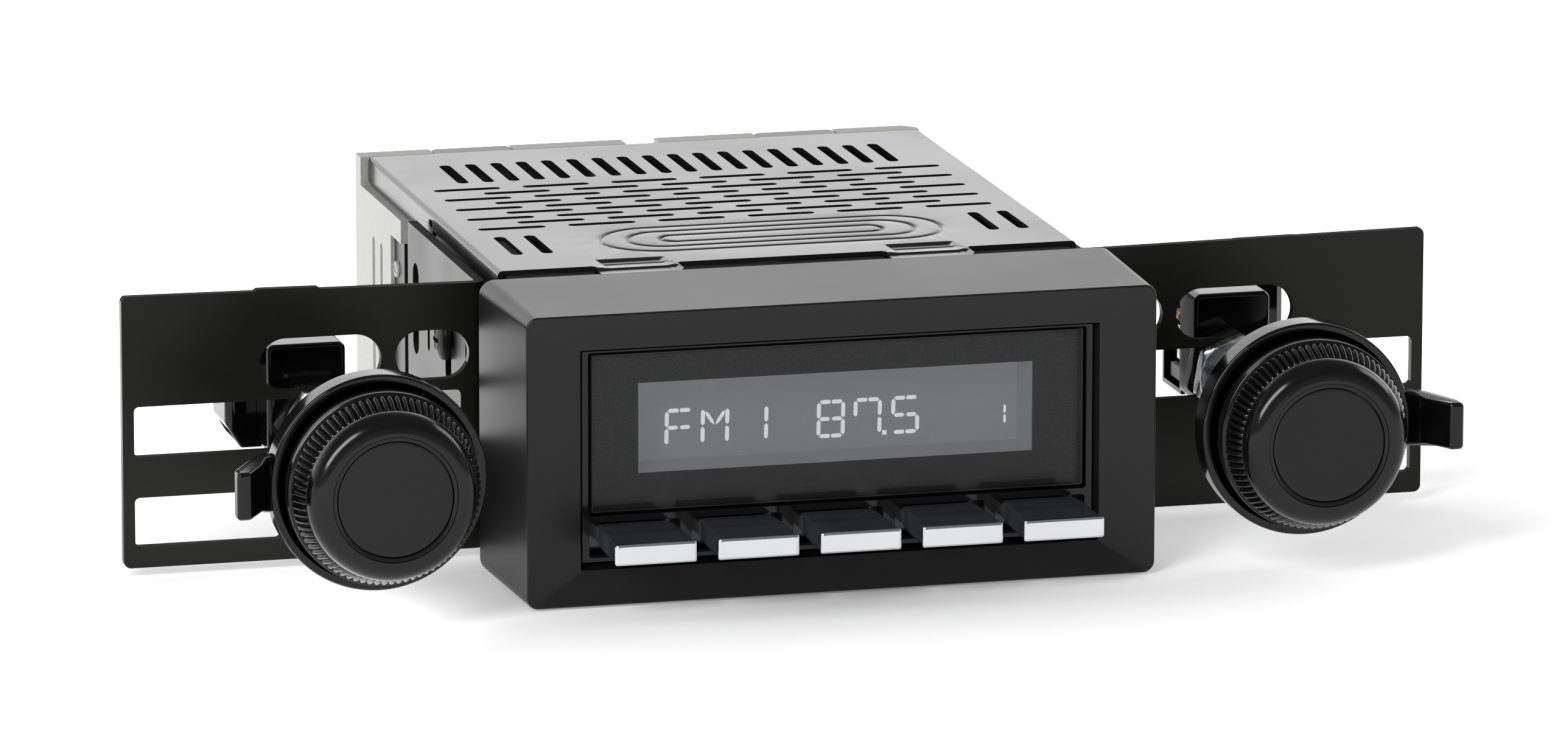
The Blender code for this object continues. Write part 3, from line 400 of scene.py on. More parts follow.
KNOB_PLASTIC = (surface("knob_plastic", (0.003, 0.003, 0.0035), 0.17, level=0.34, grain=0.6, relief=0.0006,
                        smudge=0.02), "gloss_black")
CUT_EDGE = surface("cut_edge", (0.010, 0.010, 0.009), 0.7, level=0.1, grain=0.3, relief=0.01)
ORANGE_PLASTIC = (surface("orange_resin", (0.62, 0.25, 0.06), 0.35, grain=0.3, relief=0.006, mottle=0.3,
                          patch=0.8), "sleeve_plastic")
# The window liner's glow is painted light: it stands in for light falling on the tunnel walls beside the
# display
WINDOW_LINER_PAINTED_LIGHT = (surface("window_liner", (0.16, 0.17, 0.175), 0.4, grain=0.3, relief=0.002, mottle=0.04,
                        patch=14.0, glow=0.95), "display_glass")
LENS_PLASTIC = (surface("lens_plastic", (0.012, 0.012, 0.013), 0.03, grain=2.0, relief=0.0001, mottle=0.05,
                        smudge=0.01, alpha=0.3), "smoked_lens")
LENS_MASK = (surface("lens_mask", (0.006, 0.006, 0.006), 0.35, grain=0.4, relief=0.0003), "smoked_lens")
LCD_FIELD = (surface("lcd_field", (0.17, 0.18, 0.185), 0.25, grain=0.3, relief=0.002, mottle=0.04, patch=14.0,
                     glow=1.15), "display_glass")
LCD_SEGMENT = (surface("lcd_segment", (0.72, 0.73, 0.74), 0.3, grain=0.3, relief=0.002, mottle=0.02,
                       glow=1.2), "display_glass")
WHITE_PLASTIC = (surface("white_plastic", (0.75, 0.76, 0.74), 0.45, grain=0.3, relief=0.004), "white_plastic")
BOARD_GREEN = (surface("board_green", (0.02, 0.12, 0.05), 0.35, grain=0.4, relief=0.01, mottle=0.4,
                       patch=1.5), "circuit_board")
BOARD_BLACK = (surface("board_black", (0.012, 0.012, 0.011), 0.25, grain=0.4, relief=0.006, mottle=0.4,
                       patch=1.5), "circuit_board")
CONNECTOR = (surface("connector_plastic", (0.02, 0.02, 0.02), 0.42, grain=0.3, relief=0.008),
             "connector_black")
RED_PLASTIC = (surface("red_plastic", (0.45, 0.02, 0.02), 0.35, grain=0.3, relief=0.004), "white_plastic")
TINPLATE = (surface("tinplate", (0.68, 0.69, 0.70), 0.22, metallic=1.0, grain=0.5, relief=0.004, mottle=0.08,
                    patch=4.0, smudge=0.08), "tinplate")
RUBBER = (surface("gasket_rubber", (0.010, 0.010, 0.010), 0.85, level=0.15, grain=0.3, relief=0.01),
          "bezel_black")
SLEEVE = (surface("capacitor_sleeve", (0.02, 0.03, 0.09), 0.30, grain=0.4, relief=0.003), "sleeve_plastic")


# ---------------------------------------------------------------- bezel

BEZEL_DEPTH = span("bezel", "Y")[1]
BEZEL_FRONT_HALF = 58.0
BEZEL_FRONT_Z = (0.39, 53.34)
BEZEL_REAR_HALF = span("bezel", "X")[1]
BEZEL_REAR_Z = span("bezel", "Z")
BEZEL_FRONT_CORNER = 2.1
BEZEL_REAR_CORNER = 2.8
EDGE_RADIUS = 0.38
OPENING_HALF = 47.8
OPENING_Z = (6.74, 46.59)
OPENING_Y = 1.5
LIP_REAR_Y = 5.2


def inset(z_span, amount):
    return (z_span[0] + amount, z_span[1] - amount)


def panel_outline(half, z_span, radius):
    """Rounded rectangle as wide to the left of the radio's middle as to its right."""
    return rounded_rectangle((-half, z_span[0]), (half, z_span[1]), radius)


def bezel_ring(half, z_span, radius, y):
    return lay(panel_outline(half, z_span, radius), y)


def draw_bezel(shape):
    """Nose shell whose front frame dishes in to the display opening."""
    wall = 2.2
    rings = [bezel_ring(BEZEL_REAR_HALF, BEZEL_REAR_Z, BEZEL_REAR_CORNER, BEZEL_DEPTH)]
    for inward, back in arc((0.0, EDGE_RADIUS), EDGE_RADIUS, 180, 270, 6):
        margin = EDGE_RADIUS + inward
        rings.append(bezel_ring(BEZEL_FRONT_HALF - margin, inset(BEZEL_FRONT_Z, margin),
                                BEZEL_FRONT_CORNER - 0.6 * margin, back))
    for grow, y in ((0.18, OPENING_Y - 0.03), (0.05, OPENING_Y + 0.05), (0.0, OPENING_Y + 0.2)):
        rings.append(bezel_ring(OPENING_HALF + grow, inset(OPENING_Z, -grow), 0.35, y))
    rings += [
        bezel_ring(OPENING_HALF - 0.6, inset(OPENING_Z, 0.5), 0.3, LIP_REAR_Y),
        bezel_ring(OPENING_HALF + 1.6, inset(OPENING_Z, -1.6), 1.0, LIP_REAR_Y),
        bezel_ring(OPENING_HALF + 2.0, inset(OPENING_Z, -2.0), 1.0, 4.0),
        bezel_ring(BEZEL_FRONT_HALF - wall, inset(BEZEL_FRONT_Z, wall), 1.2, 2.9),
        bezel_ring(BEZEL_REAR_HALF - wall, inset(BEZEL_REAR_Z, wall), 1.2, BEZEL_DEPTH),
    ]
    add_loft(shape, rings, closed=True)


make("bezel_shell", draw_bezel, SATIN_PLASTIC, replaces=["bezel"])


# ---------------------------------------------------------------- face panel and display

PANEL_FRONT_Y = span("face_panel", "Y")[0]
PANEL_BLOCK_HALF = 47.1
PANEL_BLOCK_Z = (7.6, 46.02)
PANEL_PLATE_HALF = span("face_panel", "X")[1]
PANEL_PLATE_Z = span("face_panel", "Z")
PANEL_PLATE_Y = (5.5, 7.3)
LENS_HALF = span("display_lens", "X")[1]
LENS_Z = span("display_lens", "Z")
LENS_Y = span("display_lens", "Y")
LENS_GROOVE = 0.86
WINDOW_HALF = 36.4
WINDOW_Z = (23.0, 39.4)
TUNNEL_REAR_Y = span("face_panel", "Y")[1]
BUTTON_X = [middle(f"push_button_{number}", "X") for number in range(1, 6)]
BUTTON_Z = middle("button_cap_1", "Z")
BUTTON_SLOT_HALF = 8.3
BUTTON_SLOT_Z = (8.4, 14.75)


def draw_panel_plate(shape):
    add_prism(shape, "Y", panel_outline(PANEL_PLATE_HALF, PANEL_PLATE_Z, 1.0), PANEL_PLATE_Y)


def draw_panel_block(shape):
    outline = panel_outline(PANEL_BLOCK_HALF, PANEL_BLOCK_Z, 0.3)
    add_prism(shape, "Y", outline, (PANEL_FRONT_Y, PANEL_PLATE_Y[0] + 1.0))


def draw_panel_tunnel(shape):
    wall = 1.5
    add_box(shape, (-WINDOW_HALF - wall, PANEL_PLATE_Y[0] + 0.5, WINDOW_Z[0] - wall),
            (WINDOW_HALF + wall, TUNNEL_REAR_Y, WINDOW_Z[1] + wall))


def draw_lens_pocket(shape):
    low = (-LENS_HALF - LENS_GROOVE, LENS_Z[0] - LENS_GROOVE)
    high = (LENS_HALF + LENS_GROOVE, LENS_Z[1] + LENS_GROOVE * 0.75)
    add_prism(shape, "Y", rounded_rectangle(low, high, 0.5), (PANEL_FRONT_Y - 1, PANEL_PLATE_Y[0] + 0.5))


def draw_panel_openings(shape):
    add_box(shape, (-WINDOW_HALF, PANEL_FRONT_Y - 1, WINDOW_Z[0]),
            (WINDOW_HALF, TUNNEL_REAR_Y + 1, WINDOW_Z[1]))
    for x in BUTTON_X:
        outline = rounded_rectangle((x - BUTTON_SLOT_HALF, BUTTON_SLOT_Z[0]),
                                    (x + BUTTON_SLOT_HALF, BUTTON_SLOT_Z[1]), 0.5)
        add_prism(shape, "Y", outline, (PANEL_FRONT_Y - 1, PANEL_PLATE_Y[1] + 1))


make("face_frame", draw_panel_plate, GLOSS_PLASTIC, joins=(draw_panel_block, draw_panel_tunnel),
     cuts=(draw_lens_pocket, draw_panel_openings), bevel=0.18, replaces=["face_panel"])


def draw_lens(shape):
    edge = 0.15
    sections = (
        (edge, LENS_Y[0]), (edge * 0.3, LENS_Y[0] + edge * 0.3), (0.0, LENS_Y[0] + edge), (0.0, LENS_Y[1]),
    )
    add_loft(shape, [lay(panel_outline(LENS_HALF - margin, inset(LENS_Z, margin), 0.3), y)
                     for margin, y in sections])


def draw_lens_mask(shape):
    """Black tray behind the lens whose thin wall hides the lens's edge."""
    thickness = 0.15
    floor = LENS_Y[1] + 0.05
    wall_front = LENS_Y[0] + 0.25
    window = panel_outline(WINDOW_HALF, WINDOW_Z, 0.1)
    inner, outer = [panel_outline(LENS_HALF + grow, inset(LENS_Z, -grow), 0.4) for grow in (0.03, 0.18)]
    add_loft(shape, [
        lay(window, floor), lay(inner, floor), lay(inner, wall_front), lay(outer, wall_front),
        lay(outer, floor + thickness), lay(window, floor + thickness),
    ], closed=True)


make("lens_pane", draw_lens, LENS_PLASTIC, replaces=["display_lens"])
make("lens_mask", draw_lens_mask, LENS_MASK)

LCD_Y = span("lcd_panel", "Y")


def draw_lcd(shape):
    half = span("lcd_panel", "X")[1]
    z_low, z_high = span("lcd_panel", "Z")
    add_box(shape, (-half, LCD_Y[0] + 0.9, z_low), (half, LCD_Y[1], z_high))
    add_box(shape, (-half + 1.0, LCD_Y[0], z_low + 1.2), (half - 1.0, LCD_Y[0] + 0.8, z_high - 0.6))


make("lcd_glass", draw_lcd, LCD_FIELD, bevel=0.08, replaces=["lcd_panel"])


def draw_window_liner(shape):
    """Grey tunnel from the window down to the display, drawn in at the right and along the bottom; its glow
    is painted light on the tunnel walls.
    """
    front, rear = LENS_Y[1] + 0.25, LCD_Y[0] - 0.15
    mouth = panel_outline(WINDOW_HALF, WINDOW_Z, 0.1)
    throat = rounded_rectangle((-WINDOW_HALF + 0.02, WINDOW_Z[0] + 0.9),
                               (WINDOW_HALF - 1.35, WINDOW_Z[1] - 0.02), 0.1)
    outside = panel_outline(WINDOW_HALF + 0.1, inset(WINDOW_Z, -0.1), 0.1)
    rings = [lay(mouth, front), lay(throat, rear), lay(outside, rear), lay(outside, front)]
    add_loft(shape, rings, closed=True)


make("window_liner", draw_window_liner, WINDOW_LINER_PAINTED_LIGHT)

# A character cell has segment strokes on a grid of its own width and height
CELL_WIDTH = 5.2
CELL_HEIGHT = 6.95
CELL_FOOT_Z = 26.15
STROKE = 0.7
STROKE_GAP = 0.14
CELL_LEAN = 0.02
SEGMENT_THICKNESS = 0.12


def bar(start, end, start_cut, end_cut, width=STROKE):
    """A stroke between two points whose ends are cut to a point, as on a segment display."""
    start, end = Vector(start), Vector(end)
    along = (end - start).normalized()
    across = Vector((-along.y, along.x)) * width / 2
    return [
        start, start + along * start_cut + across, end - along * end_cut + across,
        end, end - along * end_cut - across, start + along * start_cut - across,
    ]


def segment_strokes():
    """Outlines of the strokes of one character cell, by name."""
    half = STROKE / 2
    left, right, centre = half, CELL_WIDTH - half, CELL_WIDTH / 2
    low, mid, high = half, CELL_HEIGHT / 2, CELL_HEIGHT - half
    gap = STROKE_GAP
    strokes = {}
    for name, x, inward in (("left", left, 1), ("right", right, -1)):
        outer, inner = x + inward * gap, centre - inward * gap / 2
        strokes[f"top_{name}"] = bar((outer, high), (inner, high), half, half * 0.6)
        strokes[f"bottom_{name}"] = bar((outer, low), (inner, low), half, half * 0.6)
        strokes[f"mid_{name}"] = bar((outer, mid), (centre - inward * gap, mid), half, half)
        strokes[f"upper_{name}"] = bar((x, mid + gap), (x, high - gap), half, half)
        strokes[f"lower_{name}"] = bar((x, low + gap), (x, mid - gap), half, half)
        shoulder = (x + inward * (half + gap), high - half - gap)
        strokes[f"slope_{name}"] = bar(shoulder, (centre - inward * gap, mid + gap), 0.5, 0.8, 0.6)
    return strokes


TOP = ("top_left", "top_right")
MIDDLE = ("mid_left", "mid_right")
BOTTOM = ("bottom_left", "bottom_right")
LEFT_SIDE = ("upper_left", "lower_left")
RIGHT_SIDE = ("upper_right", "lower_right")
# Characters from left to right: (left edge of the cell, strokes that are lit)
CELLS = (
    (-30.25, TOP + MIDDLE + LEFT_SIDE),
    (-23.6, LEFT_SIDE + RIGHT_SIDE + ("slope_left", "slope_right")),
    (-16.4, RIGHT_SIDE),
    (-2.2, TOP + MIDDLE + BOTTOM + LEFT_SIDE + RIGHT_SIDE),
    (4.6, TOP + RIGHT_SIDE + ("upper_left",)),
    (11.6, TOP + MIDDLE + BOTTOM + ("upper_left", "lower_right")),
)
POINT_X = 10.4
SMALL_DIGIT_X = 32.8
SMALL_DIGIT_Z = (27.0, 30.5)


def draw_characters(shape):
    """Lit strokes of the display: band, preset, frequency and channel."""
    ends = (LCD_Y[0] - SEGMENT_THICKNESS, LCD_Y[0] - 0.01)
    strokes = segment_strokes()
    for cell_x, lit in CELLS:
        for stroke in lit:
            outline = [(cell_x + point[0] + CELL_LEAN * point[1], CELL_FOOT_Z + point[1])
                       for point in strokes[stroke]]
            add_prism(shape, "Y", outline, ends)
    dot = 0.4
    add_box(shape, (POINT_X - dot, ends[0], CELL_FOOT_Z), (POINT_X + dot, ends[1], CELL_FOOT_Z + 2 * dot))
    low, high = SMALL_DIGIT_Z
    centre = (low + high) / 2
    for start, end in ((low, centre - 0.08), (centre + 0.08, high)):
        add_prism(shape, "Y", bar((SMALL_DIGIT_X, start), (SMALL_DIGIT_X, end), 0.3, 0.3, 0.42), ends)


make("display_characters", draw_characters, LCD_SEGMENT)


# ---------------------------------------------------------------- push buttons

BUTTON_FRONT_Y, CAP_REAR_Y = span("button_cap_1", "Y")
CAP_HALF = half_size("button_cap_1", "X")
CAP_HALF_HEIGHT = half_size("button_cap_1", "Z")


def button_ring(x, half, below, above, radius, y):
    return lay(rounded_rectangle((x - half, BUTTON_Z - below), (x + half, BUTTON_Z + above), radius, 5), y)


def draw_button_body(x):
    """Body whose top swells towards the back and whose rear corners round in behind the panel."""
    body_half = CAP_HALF - 0.3
    sections = (
        (CAP_REAR_Y + 0.3, body_half, 1.70, 1.72, 0.35),
        (-9.0, body_half, 1.75, 1.80, 0.45),
        (-6.0, body_half, 1.85, 1.95, 0.55),
        (-3.0, body_half, 1.95, 2.00, 0.65),
        (0.5, body_half - 0.05, 2.0, 2.0, 0.8),
        (3.0, body_half - 0.2, 2.0, 2.0, 1.0),
        (5.0, body_half - 0.45, 2.0, 1.95, 1.1),
        (7.7, body_half - 0.5, 2.0, 1.9, 1.1),
    )

    plate = (8.6, 3.4, 3.6, 0.4)
    stem = (2.0, 1.5, 1.5, 0.3)

    def draw(shape):
        rings = [button_ring(x, half, below, above, radius, y) for y, half, below, above, radius in sections]
        for part, y in ((plate, 7.7), (plate, 8.9), (stem, 8.9), (stem, 10.0)):
            rings.append(button_ring(x, *part, y))
        add_loft(shape, rings)
    return draw


def draw_button_cap(x):
    """Chrome cap: flat front with a bevelled border inside a small rolled edge."""
    border = 0.62
    steps = (
        (0.35, CAP_REAR_Y), (0.0, CAP_REAR_Y - 0.2), (0.0, BUTTON_FRONT_Y + 0.55),
        (0.06, BUTTON_FRONT_Y + 0.38), (0.2, BUTTON_FRONT_Y + 0.26),
        (border, BUTTON_FRONT_Y + 0.05), (border + 0.1, BUTTON_FRONT_Y),
    )

    def draw(shape):
        rings = []
        for margin, y in steps:
            half_height = CAP_HALF_HEIGHT - margin * 0.55
            rings.append(button_ring(x, CAP_HALF - margin, half_height, half_height, 0.42 - margin * 0.3, y))
        add_loft(shape, rings)
    return draw


for number, button_x in enumerate(BUTTON_X, 1):
    make(f"button_{number}_body", draw_button_body(button_x), BUTTON_PLASTIC, f"button_{number}",
         replaces=[f"push_button_{number}"])
    make(f"button_{number}_chrome", draw_button_cap(button_x), CHROME, f"button_{number}",
         replaces=[f"button_cap_{number}"])


# ---------------------------------------------------------------- top cover

COVER_HALF = span("top_cover", "X")[1]
COVER_FOOT_Z, COVER_TOP = span("top_cover", "Z")
COVER_SHEET = 0.8
COVER_Y = (38.4, 144.6)
COVER_BEND = 0.9
FRONT_TAB_Y, REAR_TAB_Y = span("top_cover", "Y")
FRONT_TABS_X = ((-36.1, -20.9), (18.0, 33.4))
REAR_TABS_X = ((-41.0, -26.0), (22.2, 37.6))
BACK_SLOT_COUNT = 18
BACK_SLOT_PITCH = 4.9
BACK_SLOT_Y = (116.2, 133.4)
WIDE_SLOT = 2.15
BRICK_ROWS = 9
BRICK_ROW_PITCH = 4.5
BRICK_FIRST_Y = 74.5
BRICK_PITCH = 16.98
BRICK_LENGTH = 12.7
BRICK_WIDTH = 2.0
CORNER_SLOTS_X = (42.0, 47.6)
CORNER_SLOT_Y = (51.3, 67.4)
FLANGE_HOLE = ((-COVER_HALF - 2.4, 90.6), (-COVER_HALF - 1.0, 93.4))
BEND_STEPS = 5
SLOT_SHIFT = -0.45
CORNER_SLOT_SHIFT = 0.45


def cover_slots():
    """Every ventilation slot in the cover, as (low, high) corners."""
    slots = []
    half = WIDE_SLOT / 2
    brick_u, brick_v = BRICK_LENGTH / 2, BRICK_WIDTH / 2
    for index in range(BACK_SLOT_COUNT):
        x = (index - (BACK_SLOT_COUNT - 1) / 2) * BACK_SLOT_PITCH + SLOT_SHIFT
        slots.append(((x - half, BACK_SLOT_Y[0]), (x + half, BACK_SLOT_Y[1])))
    for side in (-1, 1):
        for distance in CORNER_SLOTS_X:
            x = side * distance + CORNER_SLOT_SHIFT
            slots.append(((x - half, CORNER_SLOT_Y[0]), (x + half, CORNER_SLOT_Y[1])))
    for row in range(BRICK_ROWS):
        count = 6 - row % 2
        y = BRICK_FIRST_Y + row * BRICK_ROW_PITCH
        for index in range(count):
            x = (index - (count - 1) / 2) * BRICK_PITCH + SLOT_SHIFT
            slots.append(((x - brick_u, y - brick_v), (x + brick_u, y + brick_v)))
    return slots


# Pressed beads: (low corner, high corner, depth, half width of the bead); a plain generic pattern
BEADS = (
    ((-30.0, 48.2), (34.0, 68.8), 0.42, 0.75),
    ((-25.0, 52.0), (29.0, 65.0), 0.42, 0.75),
    ((-19.0, 55.8), (23.0, 61.2), 0.42, 0.75),
)
# Joggle pressed into each front tab: (place along the tab, depth) from its back to its front
JOGGLE = ((43.8, 0.0), (43.6, 0.07), (43.3, 0.38), (43.1, 0.45), (40.6, 0.22), (40.4, 0.24), (40.2, 0.34),
          (40.0, 0.36), (36.7, 0.12))
# Lines along the joggle's sloping ends, as distances from the tab's sides
JOGGLE_SIDES = (1.0, 1.3, 1.7, 2.1, 2.4)
# The tab's front strip steps down over its whole width
STRIP_STEP = ((36.7, 0.0), (36.6, 0.05), (36.4, 0.37), (36.3, 0.42))
# Each rear tab drops at its root and climbs back to the casting's top
REAR_TAB_STEP = ((144.7, 0.0), (145.2, 0.3), (148.9, 0.0))
# Lines along a bead, as fractions of its half width from the bead's middle
BEAD_RINGS = (-1.0, -0.55, 0.0, 0.55, 1.0)


def bead_depth(fraction):
    """Depth of a bead at a place across it, from -1 to 1."""
    return 0.5 + 0.5 * math.cos(math.pi * min(1.0, abs(fraction)))


def depth_along(steps, v):
    """Depth at a place along a row of (place, depth) steps."""
    steps = sorted(steps)
    if v <= steps[0][0]:
        return steps[0][1]
    for (v_first, first), (v_last, last) in zip(steps, steps[1:]):
        if v <= v_last:
            return first + (last - first) * (v - v_first) / (v_last - v_first)
    return steps[-1][1]


def tab_depth(u, v):
    """Depth pressed into the front and rear tabs at a place on the flat sheet."""
    for left, right in FRONT_TABS_X:
        if left <= u <= right and v < COVER_Y[0] + 6:
            from_side = min(u - left, right - u) - JOGGLE_SIDES[0]
            across = min(1.0, max(0.0, from_side / (JOGGLE_SIDES[-1] - JOGGLE_SIDES[0])))
            smooth = across * across * (3 - 2 * across)
            return max(smooth * depth_along(JOGGLE, v), depth_along(STRIP_STEP, v))
    for left, right in REAR_TABS_X:
        if left <= u <= right and v > COVER_Y[1]:
            return depth_along(REAR_TAB_STEP, v)
    return 0.0


def cover_boundary():
    """Outline of the flat sheet before it is folded: the top, both side flanges and the tabs."""
    flange = COVER_TOP - COVER_FOOT_Z
    half = COVER_HALF + flange - COVER_BEND * (2 - math.pi / 2)
    front, rear = COVER_Y
    narrow = half - 1.6
    points = [(-half, 91.5), (-narrow, 90.0), (-narrow, front + 2.0), (-narrow + 2.0, front)]
    for left, right in FRONT_TABS_X:
        step_down = [y for y, _ in STRIP_STEP]
        points += [(left - 0.6, front), (left, front - 0.6)]
        points += [(left, y) for y in step_down]
        points += [(left, FRONT_TAB_Y + 1.0), (left + 1.0, FRONT_TAB_Y), (right - 1.0, FRONT_TAB_Y),
                   (right, FRONT_TAB_Y + 1.0)]
        points += [(right, y) for y in reversed(step_down)]
        points += [(right, front - 0.6), (right + 0.6, front)]
    points += [(narrow - 2.0, front), (narrow, front + 2.0), (narrow, 90.0), (half, 91.5), (half, rear)]
    root, foot = REAR_TAB_STEP[0][0], REAR_TAB_STEP[1][0]
    for left, right in reversed(REAR_TABS_X):
        points += [(right, y) for y in (rear, root, foot, REAR_TAB_Y - 0.8)]
        points += [(right - 0.8, REAR_TAB_Y), (left + 0.8, REAR_TAB_Y)]
        points += [(left, y) for y in (REAR_TAB_Y - 0.8, foot, root, rear)]
    points.append((-half, rear))
    return points


def fold(u, v, sink):
    """From the flat sheet to the folded cover: the sides bend down along the top's long edges."""
    straight = COVER_HALF - COVER_BEND
    beyond = abs(u) - straight
    side = 1 if u > 0 else -1
    if beyond <= 0:
        return (u, v, COVER_TOP - sink)
    quarter = COVER_BEND * math.pi / 2
    if beyond < quarter:
        angle = beyond / COVER_BEND
        drop = COVER_BEND * (1 - math.cos(angle))
        return (side * (straight + COVER_BEND * math.sin(angle)), v, COVER_TOP - drop)
    return (side * COVER_HALF, v, COVER_TOP - COVER_BEND - (beyond - quarter))


class FlatSheet:
    """Points, edges and pressed depths of the flat sheet, ready to be triangulated."""

    def __init__(self):
        self.points = []
        self.edges = []
        self.sinks = []

    def add_line(self, outline, sink=0.0, closed=False):
        first = len(self.points)
        self.points += [Vector(point) for point in outline]
        self.sinks += [sink] * len(outline)
        last = len(self.points) - 1
        self.edges += [(index, index + 1) for index in range(first, last)]
        if closed:
            self.edges.append((last, first))


def distance_in(point, low, high):
    """How deep a point lies inside a stadium, in millimetres; below zero outside it."""
    radius = min(high[0] - low[0], high[1] - low[1]) / 2
    near_u = min(max(point[0], low[0] + radius), high[0] - radius)
    near_v = min(max(point[1], low[1] + radius), high[1] - radius)
    return radius - math.hypot(point[0] - near_u, point[1] - near_v)


def add_press_lines(sheet):
    """Lines of the flat sheet that its beads, its tabs' joggles and its long bends need."""
    for low, high, depth, half_width in BEADS:
        for fraction in BEAD_RINGS:
            outline = stadium(*grown(low, high, fraction * half_width), 10)
            sheet.add_line(outline, depth * bead_depth(fraction), closed=True)
    for left, right in FRONT_TABS_X:
        across = [left + distance for distance in JOGGLE_SIDES]
        across += [right - distance for distance in reversed(JOGGLE_SIDES)]
        for y, _ in JOGGLE:
            sheet.add_line([(x, y) for x in across])
        for y, _ in STRIP_STEP:
            sheet.add_line([(x, y) for x in [left] + across + [right]])
    for left, right in REAR_TABS_X:
        for y, _ in REAR_TAB_STEP[:2]:
            sheet.add_line([(left, y), (right, y)])
    for side in (-1, 1):
        for step in range(BEND_STEPS + 1):
            u = side * (COVER_HALF - COVER_BEND + COVER_BEND * math.pi / 2 * step / BEND_STEPS)
            sheet.add_line([(u, COVER_Y[0]), (u, COVER_Y[1])])


def draw_cover(shape):
    """Skin of the folded cover: the flat sheet is triangulated, pressed, folded and opened at its slots."""
    sheet = FlatSheet()
    sheet.add_line(cover_boundary(), closed=True)
    slots = cover_slots() + [FLANGE_HOLE]
    for low, high in slots:
        sheet.add_line(stadium(low, high, 4), closed=True)
    add_press_lines(sheet)
    points, _, faces, origins, _, _ = delaunay_2d_cdt(sheet.points, sheet.edges, [], 1, 1e-5)
    made = []
    for point, origin in zip(points, origins):
        sink = max((sheet.sinks[index] for index in origin), default=0.0) + tab_depth(point.x, point.y)
        made.append(shape.verts.new(to_frame(fold(point.x, point.y, sink))))
    for triangle in faces:
        centre = sum((points[index] for index in triangle), Vector((0.0, 0.0))) / len(triangle)
        if not any(distance_in(centre, low, high) > 0 for low, high in slots):
            shape.faces.new([made[index] for index in triangle])
    loose = [vertex for vertex in shape.verts if not vertex.link_faces]
    bmesh.ops.delete(shape, geom=loose, context="VERTS")
    if sum(face.normal.z * face.calc_area() for face in shape.faces) < 0:
        bmesh.ops.reverse_faces(shape, faces=shape.faces)


make("cover_sheet", draw_cover, COVER_PAINT, sheet=COVER_SHEET, replaces=["top_cover"])


def draw_gasket(shape):
    """Rubber strip between the nose and the cover's front edge, low under the tabs and tall beside them."""
    half, front, rear, foot = 52.6, 32.2, 38.3, 50.5
    low_top, tall_top = 52.2, 52.9
    (left_tab, left_end), (right_tab, right_end) = FRONT_TABS_X
    add_box(shape, (-half, front, foot), (half, rear, low_top))
    for left, right in ((-half, left_tab - 0.4), (left_end + 0.4, right_tab - 0.4), (right_end + 0.4, half)):
        add_box(shape, (left, front + 0.3, low_top - 0.5), (right, rear - 0.02, tall_top))


make("front_gasket", draw_gasket, RUBBER, bevel=0.2)


# ---------------------------------------------------------------- heat sink

SINK_X = span("rear_heat_sink", "X")
SINK_FRONT_Y, SINK_REAR_Y = span("rear_heat_sink", "Y")
SINK_Y = (144.9, SINK_REAR_Y)
SINK_TOP = span("rear_heat_sink", "Z")[1]
SINK_INNER_X = -49.5
SINK_STEP_Z = 48.4
SINK_STEP_Y = 119.3
SIDE_GROOVES = ((127.3, 1.9, 40.8), (133.9, 2.1, 40.8))
SINK_NOTCH_X = (-3.8, 2.6)
FIN_X = [28.5 + 3.6 * index for index in range(7)]


def draw_sink(shape):
    chamfer = 2.3
    outline = [
        (SINK_X[0], SINK_FRONT_Y), (SINK_INNER_X, SINK_FRONT_Y), (SINK_INNER_X, SINK_Y[0]),
        (SINK_X[1], SINK_Y[0]), (SINK_X[1], SINK_Y[1] - chamfer), (SINK_X[1] - chamfer, SINK_Y[1]),
        (SINK_X[0], SINK_Y[1]),
    ]
    add_prism(shape, "Z", outline, (0.0, SINK_TOP))


def draw_cover_clearance(shape):
    add_box(shape, (SINK_X[0] - 5, SINK_FRONT_Y - 5, SINK_STEP_Z),
            (SINK_INNER_X + 5, SINK_Y[0], SINK_TOP + 5))


def draw_sink_front_step(shape):
    """Below the cover's flange the casting's front edge steps back, where the side strip takes over."""
    add_box(shape, (SINK_X[0] - 5, SINK_FRONT_Y - 5, -1.0), (SINK_INNER_X + 5, SINK_STEP_Y, 44.0))


def draw_sink_recesses(shape):
    tab_floor = COVER_TOP - COVER_SHEET - 0.3
    for left, right in REAR_TABS_X:
        add_box(shape, (left - 0.3, SINK_Y[0] - 1, tab_floor), (right + 0.3, SINK_Y[1] + 1, SINK_TOP + 5))
    add_box(shape, (SINK_NOTCH_X[0], SINK_Y[0] - 1, SINK_TOP - 3),
            (SINK_NOTCH_X[1], SINK_Y[1] + 1, SINK_TOP + 5))
    for y, width, top in SIDE_GROOVES:
        add_prism(shape, "X", centred_slot(y, width / 2, (8.0, top), 5), (SINK_X[0] - 5, SINK_X[0] + 1.0))
    for x in FIN_X:
        add_box(shape, (x - 0.95, SINK_Y[1] - 2.4, 4.0), (x + 0.95, SINK_Y[1] + 5, SINK_TOP - 4.0))


def draw_socket_windows(shape):
    for node in ("power_socket", "phono_sockets"):
        (low_x, _, low_z), (high_x, _, high_z) = corners(node)
        add_box(shape, (low_x - 0.3, SINK_Y[0] - 1, low_z - 0.3), (high_x + 0.3, SINK_Y[1] + 1, high_z + 0.3))
    outline = circle(axis_of("antenna_socket"), half_size("antenna_socket", "X") + 0.3)
    add_prism(shape, "Y", outline, (SINK_Y[0] - 1, SINK_Y[1] + 1))


make("heat_sink_casting", draw_sink, CAST_METAL, bevel=0.3, replaces=["rear_heat_sink"],
     cuts=(draw_cover_clearance, draw_sink_front_step, draw_sink_recesses, draw_socket_windows))

STRIP_X = (-54.8, -54.1)
STRIP_SCREW = (117.0, 37.9)


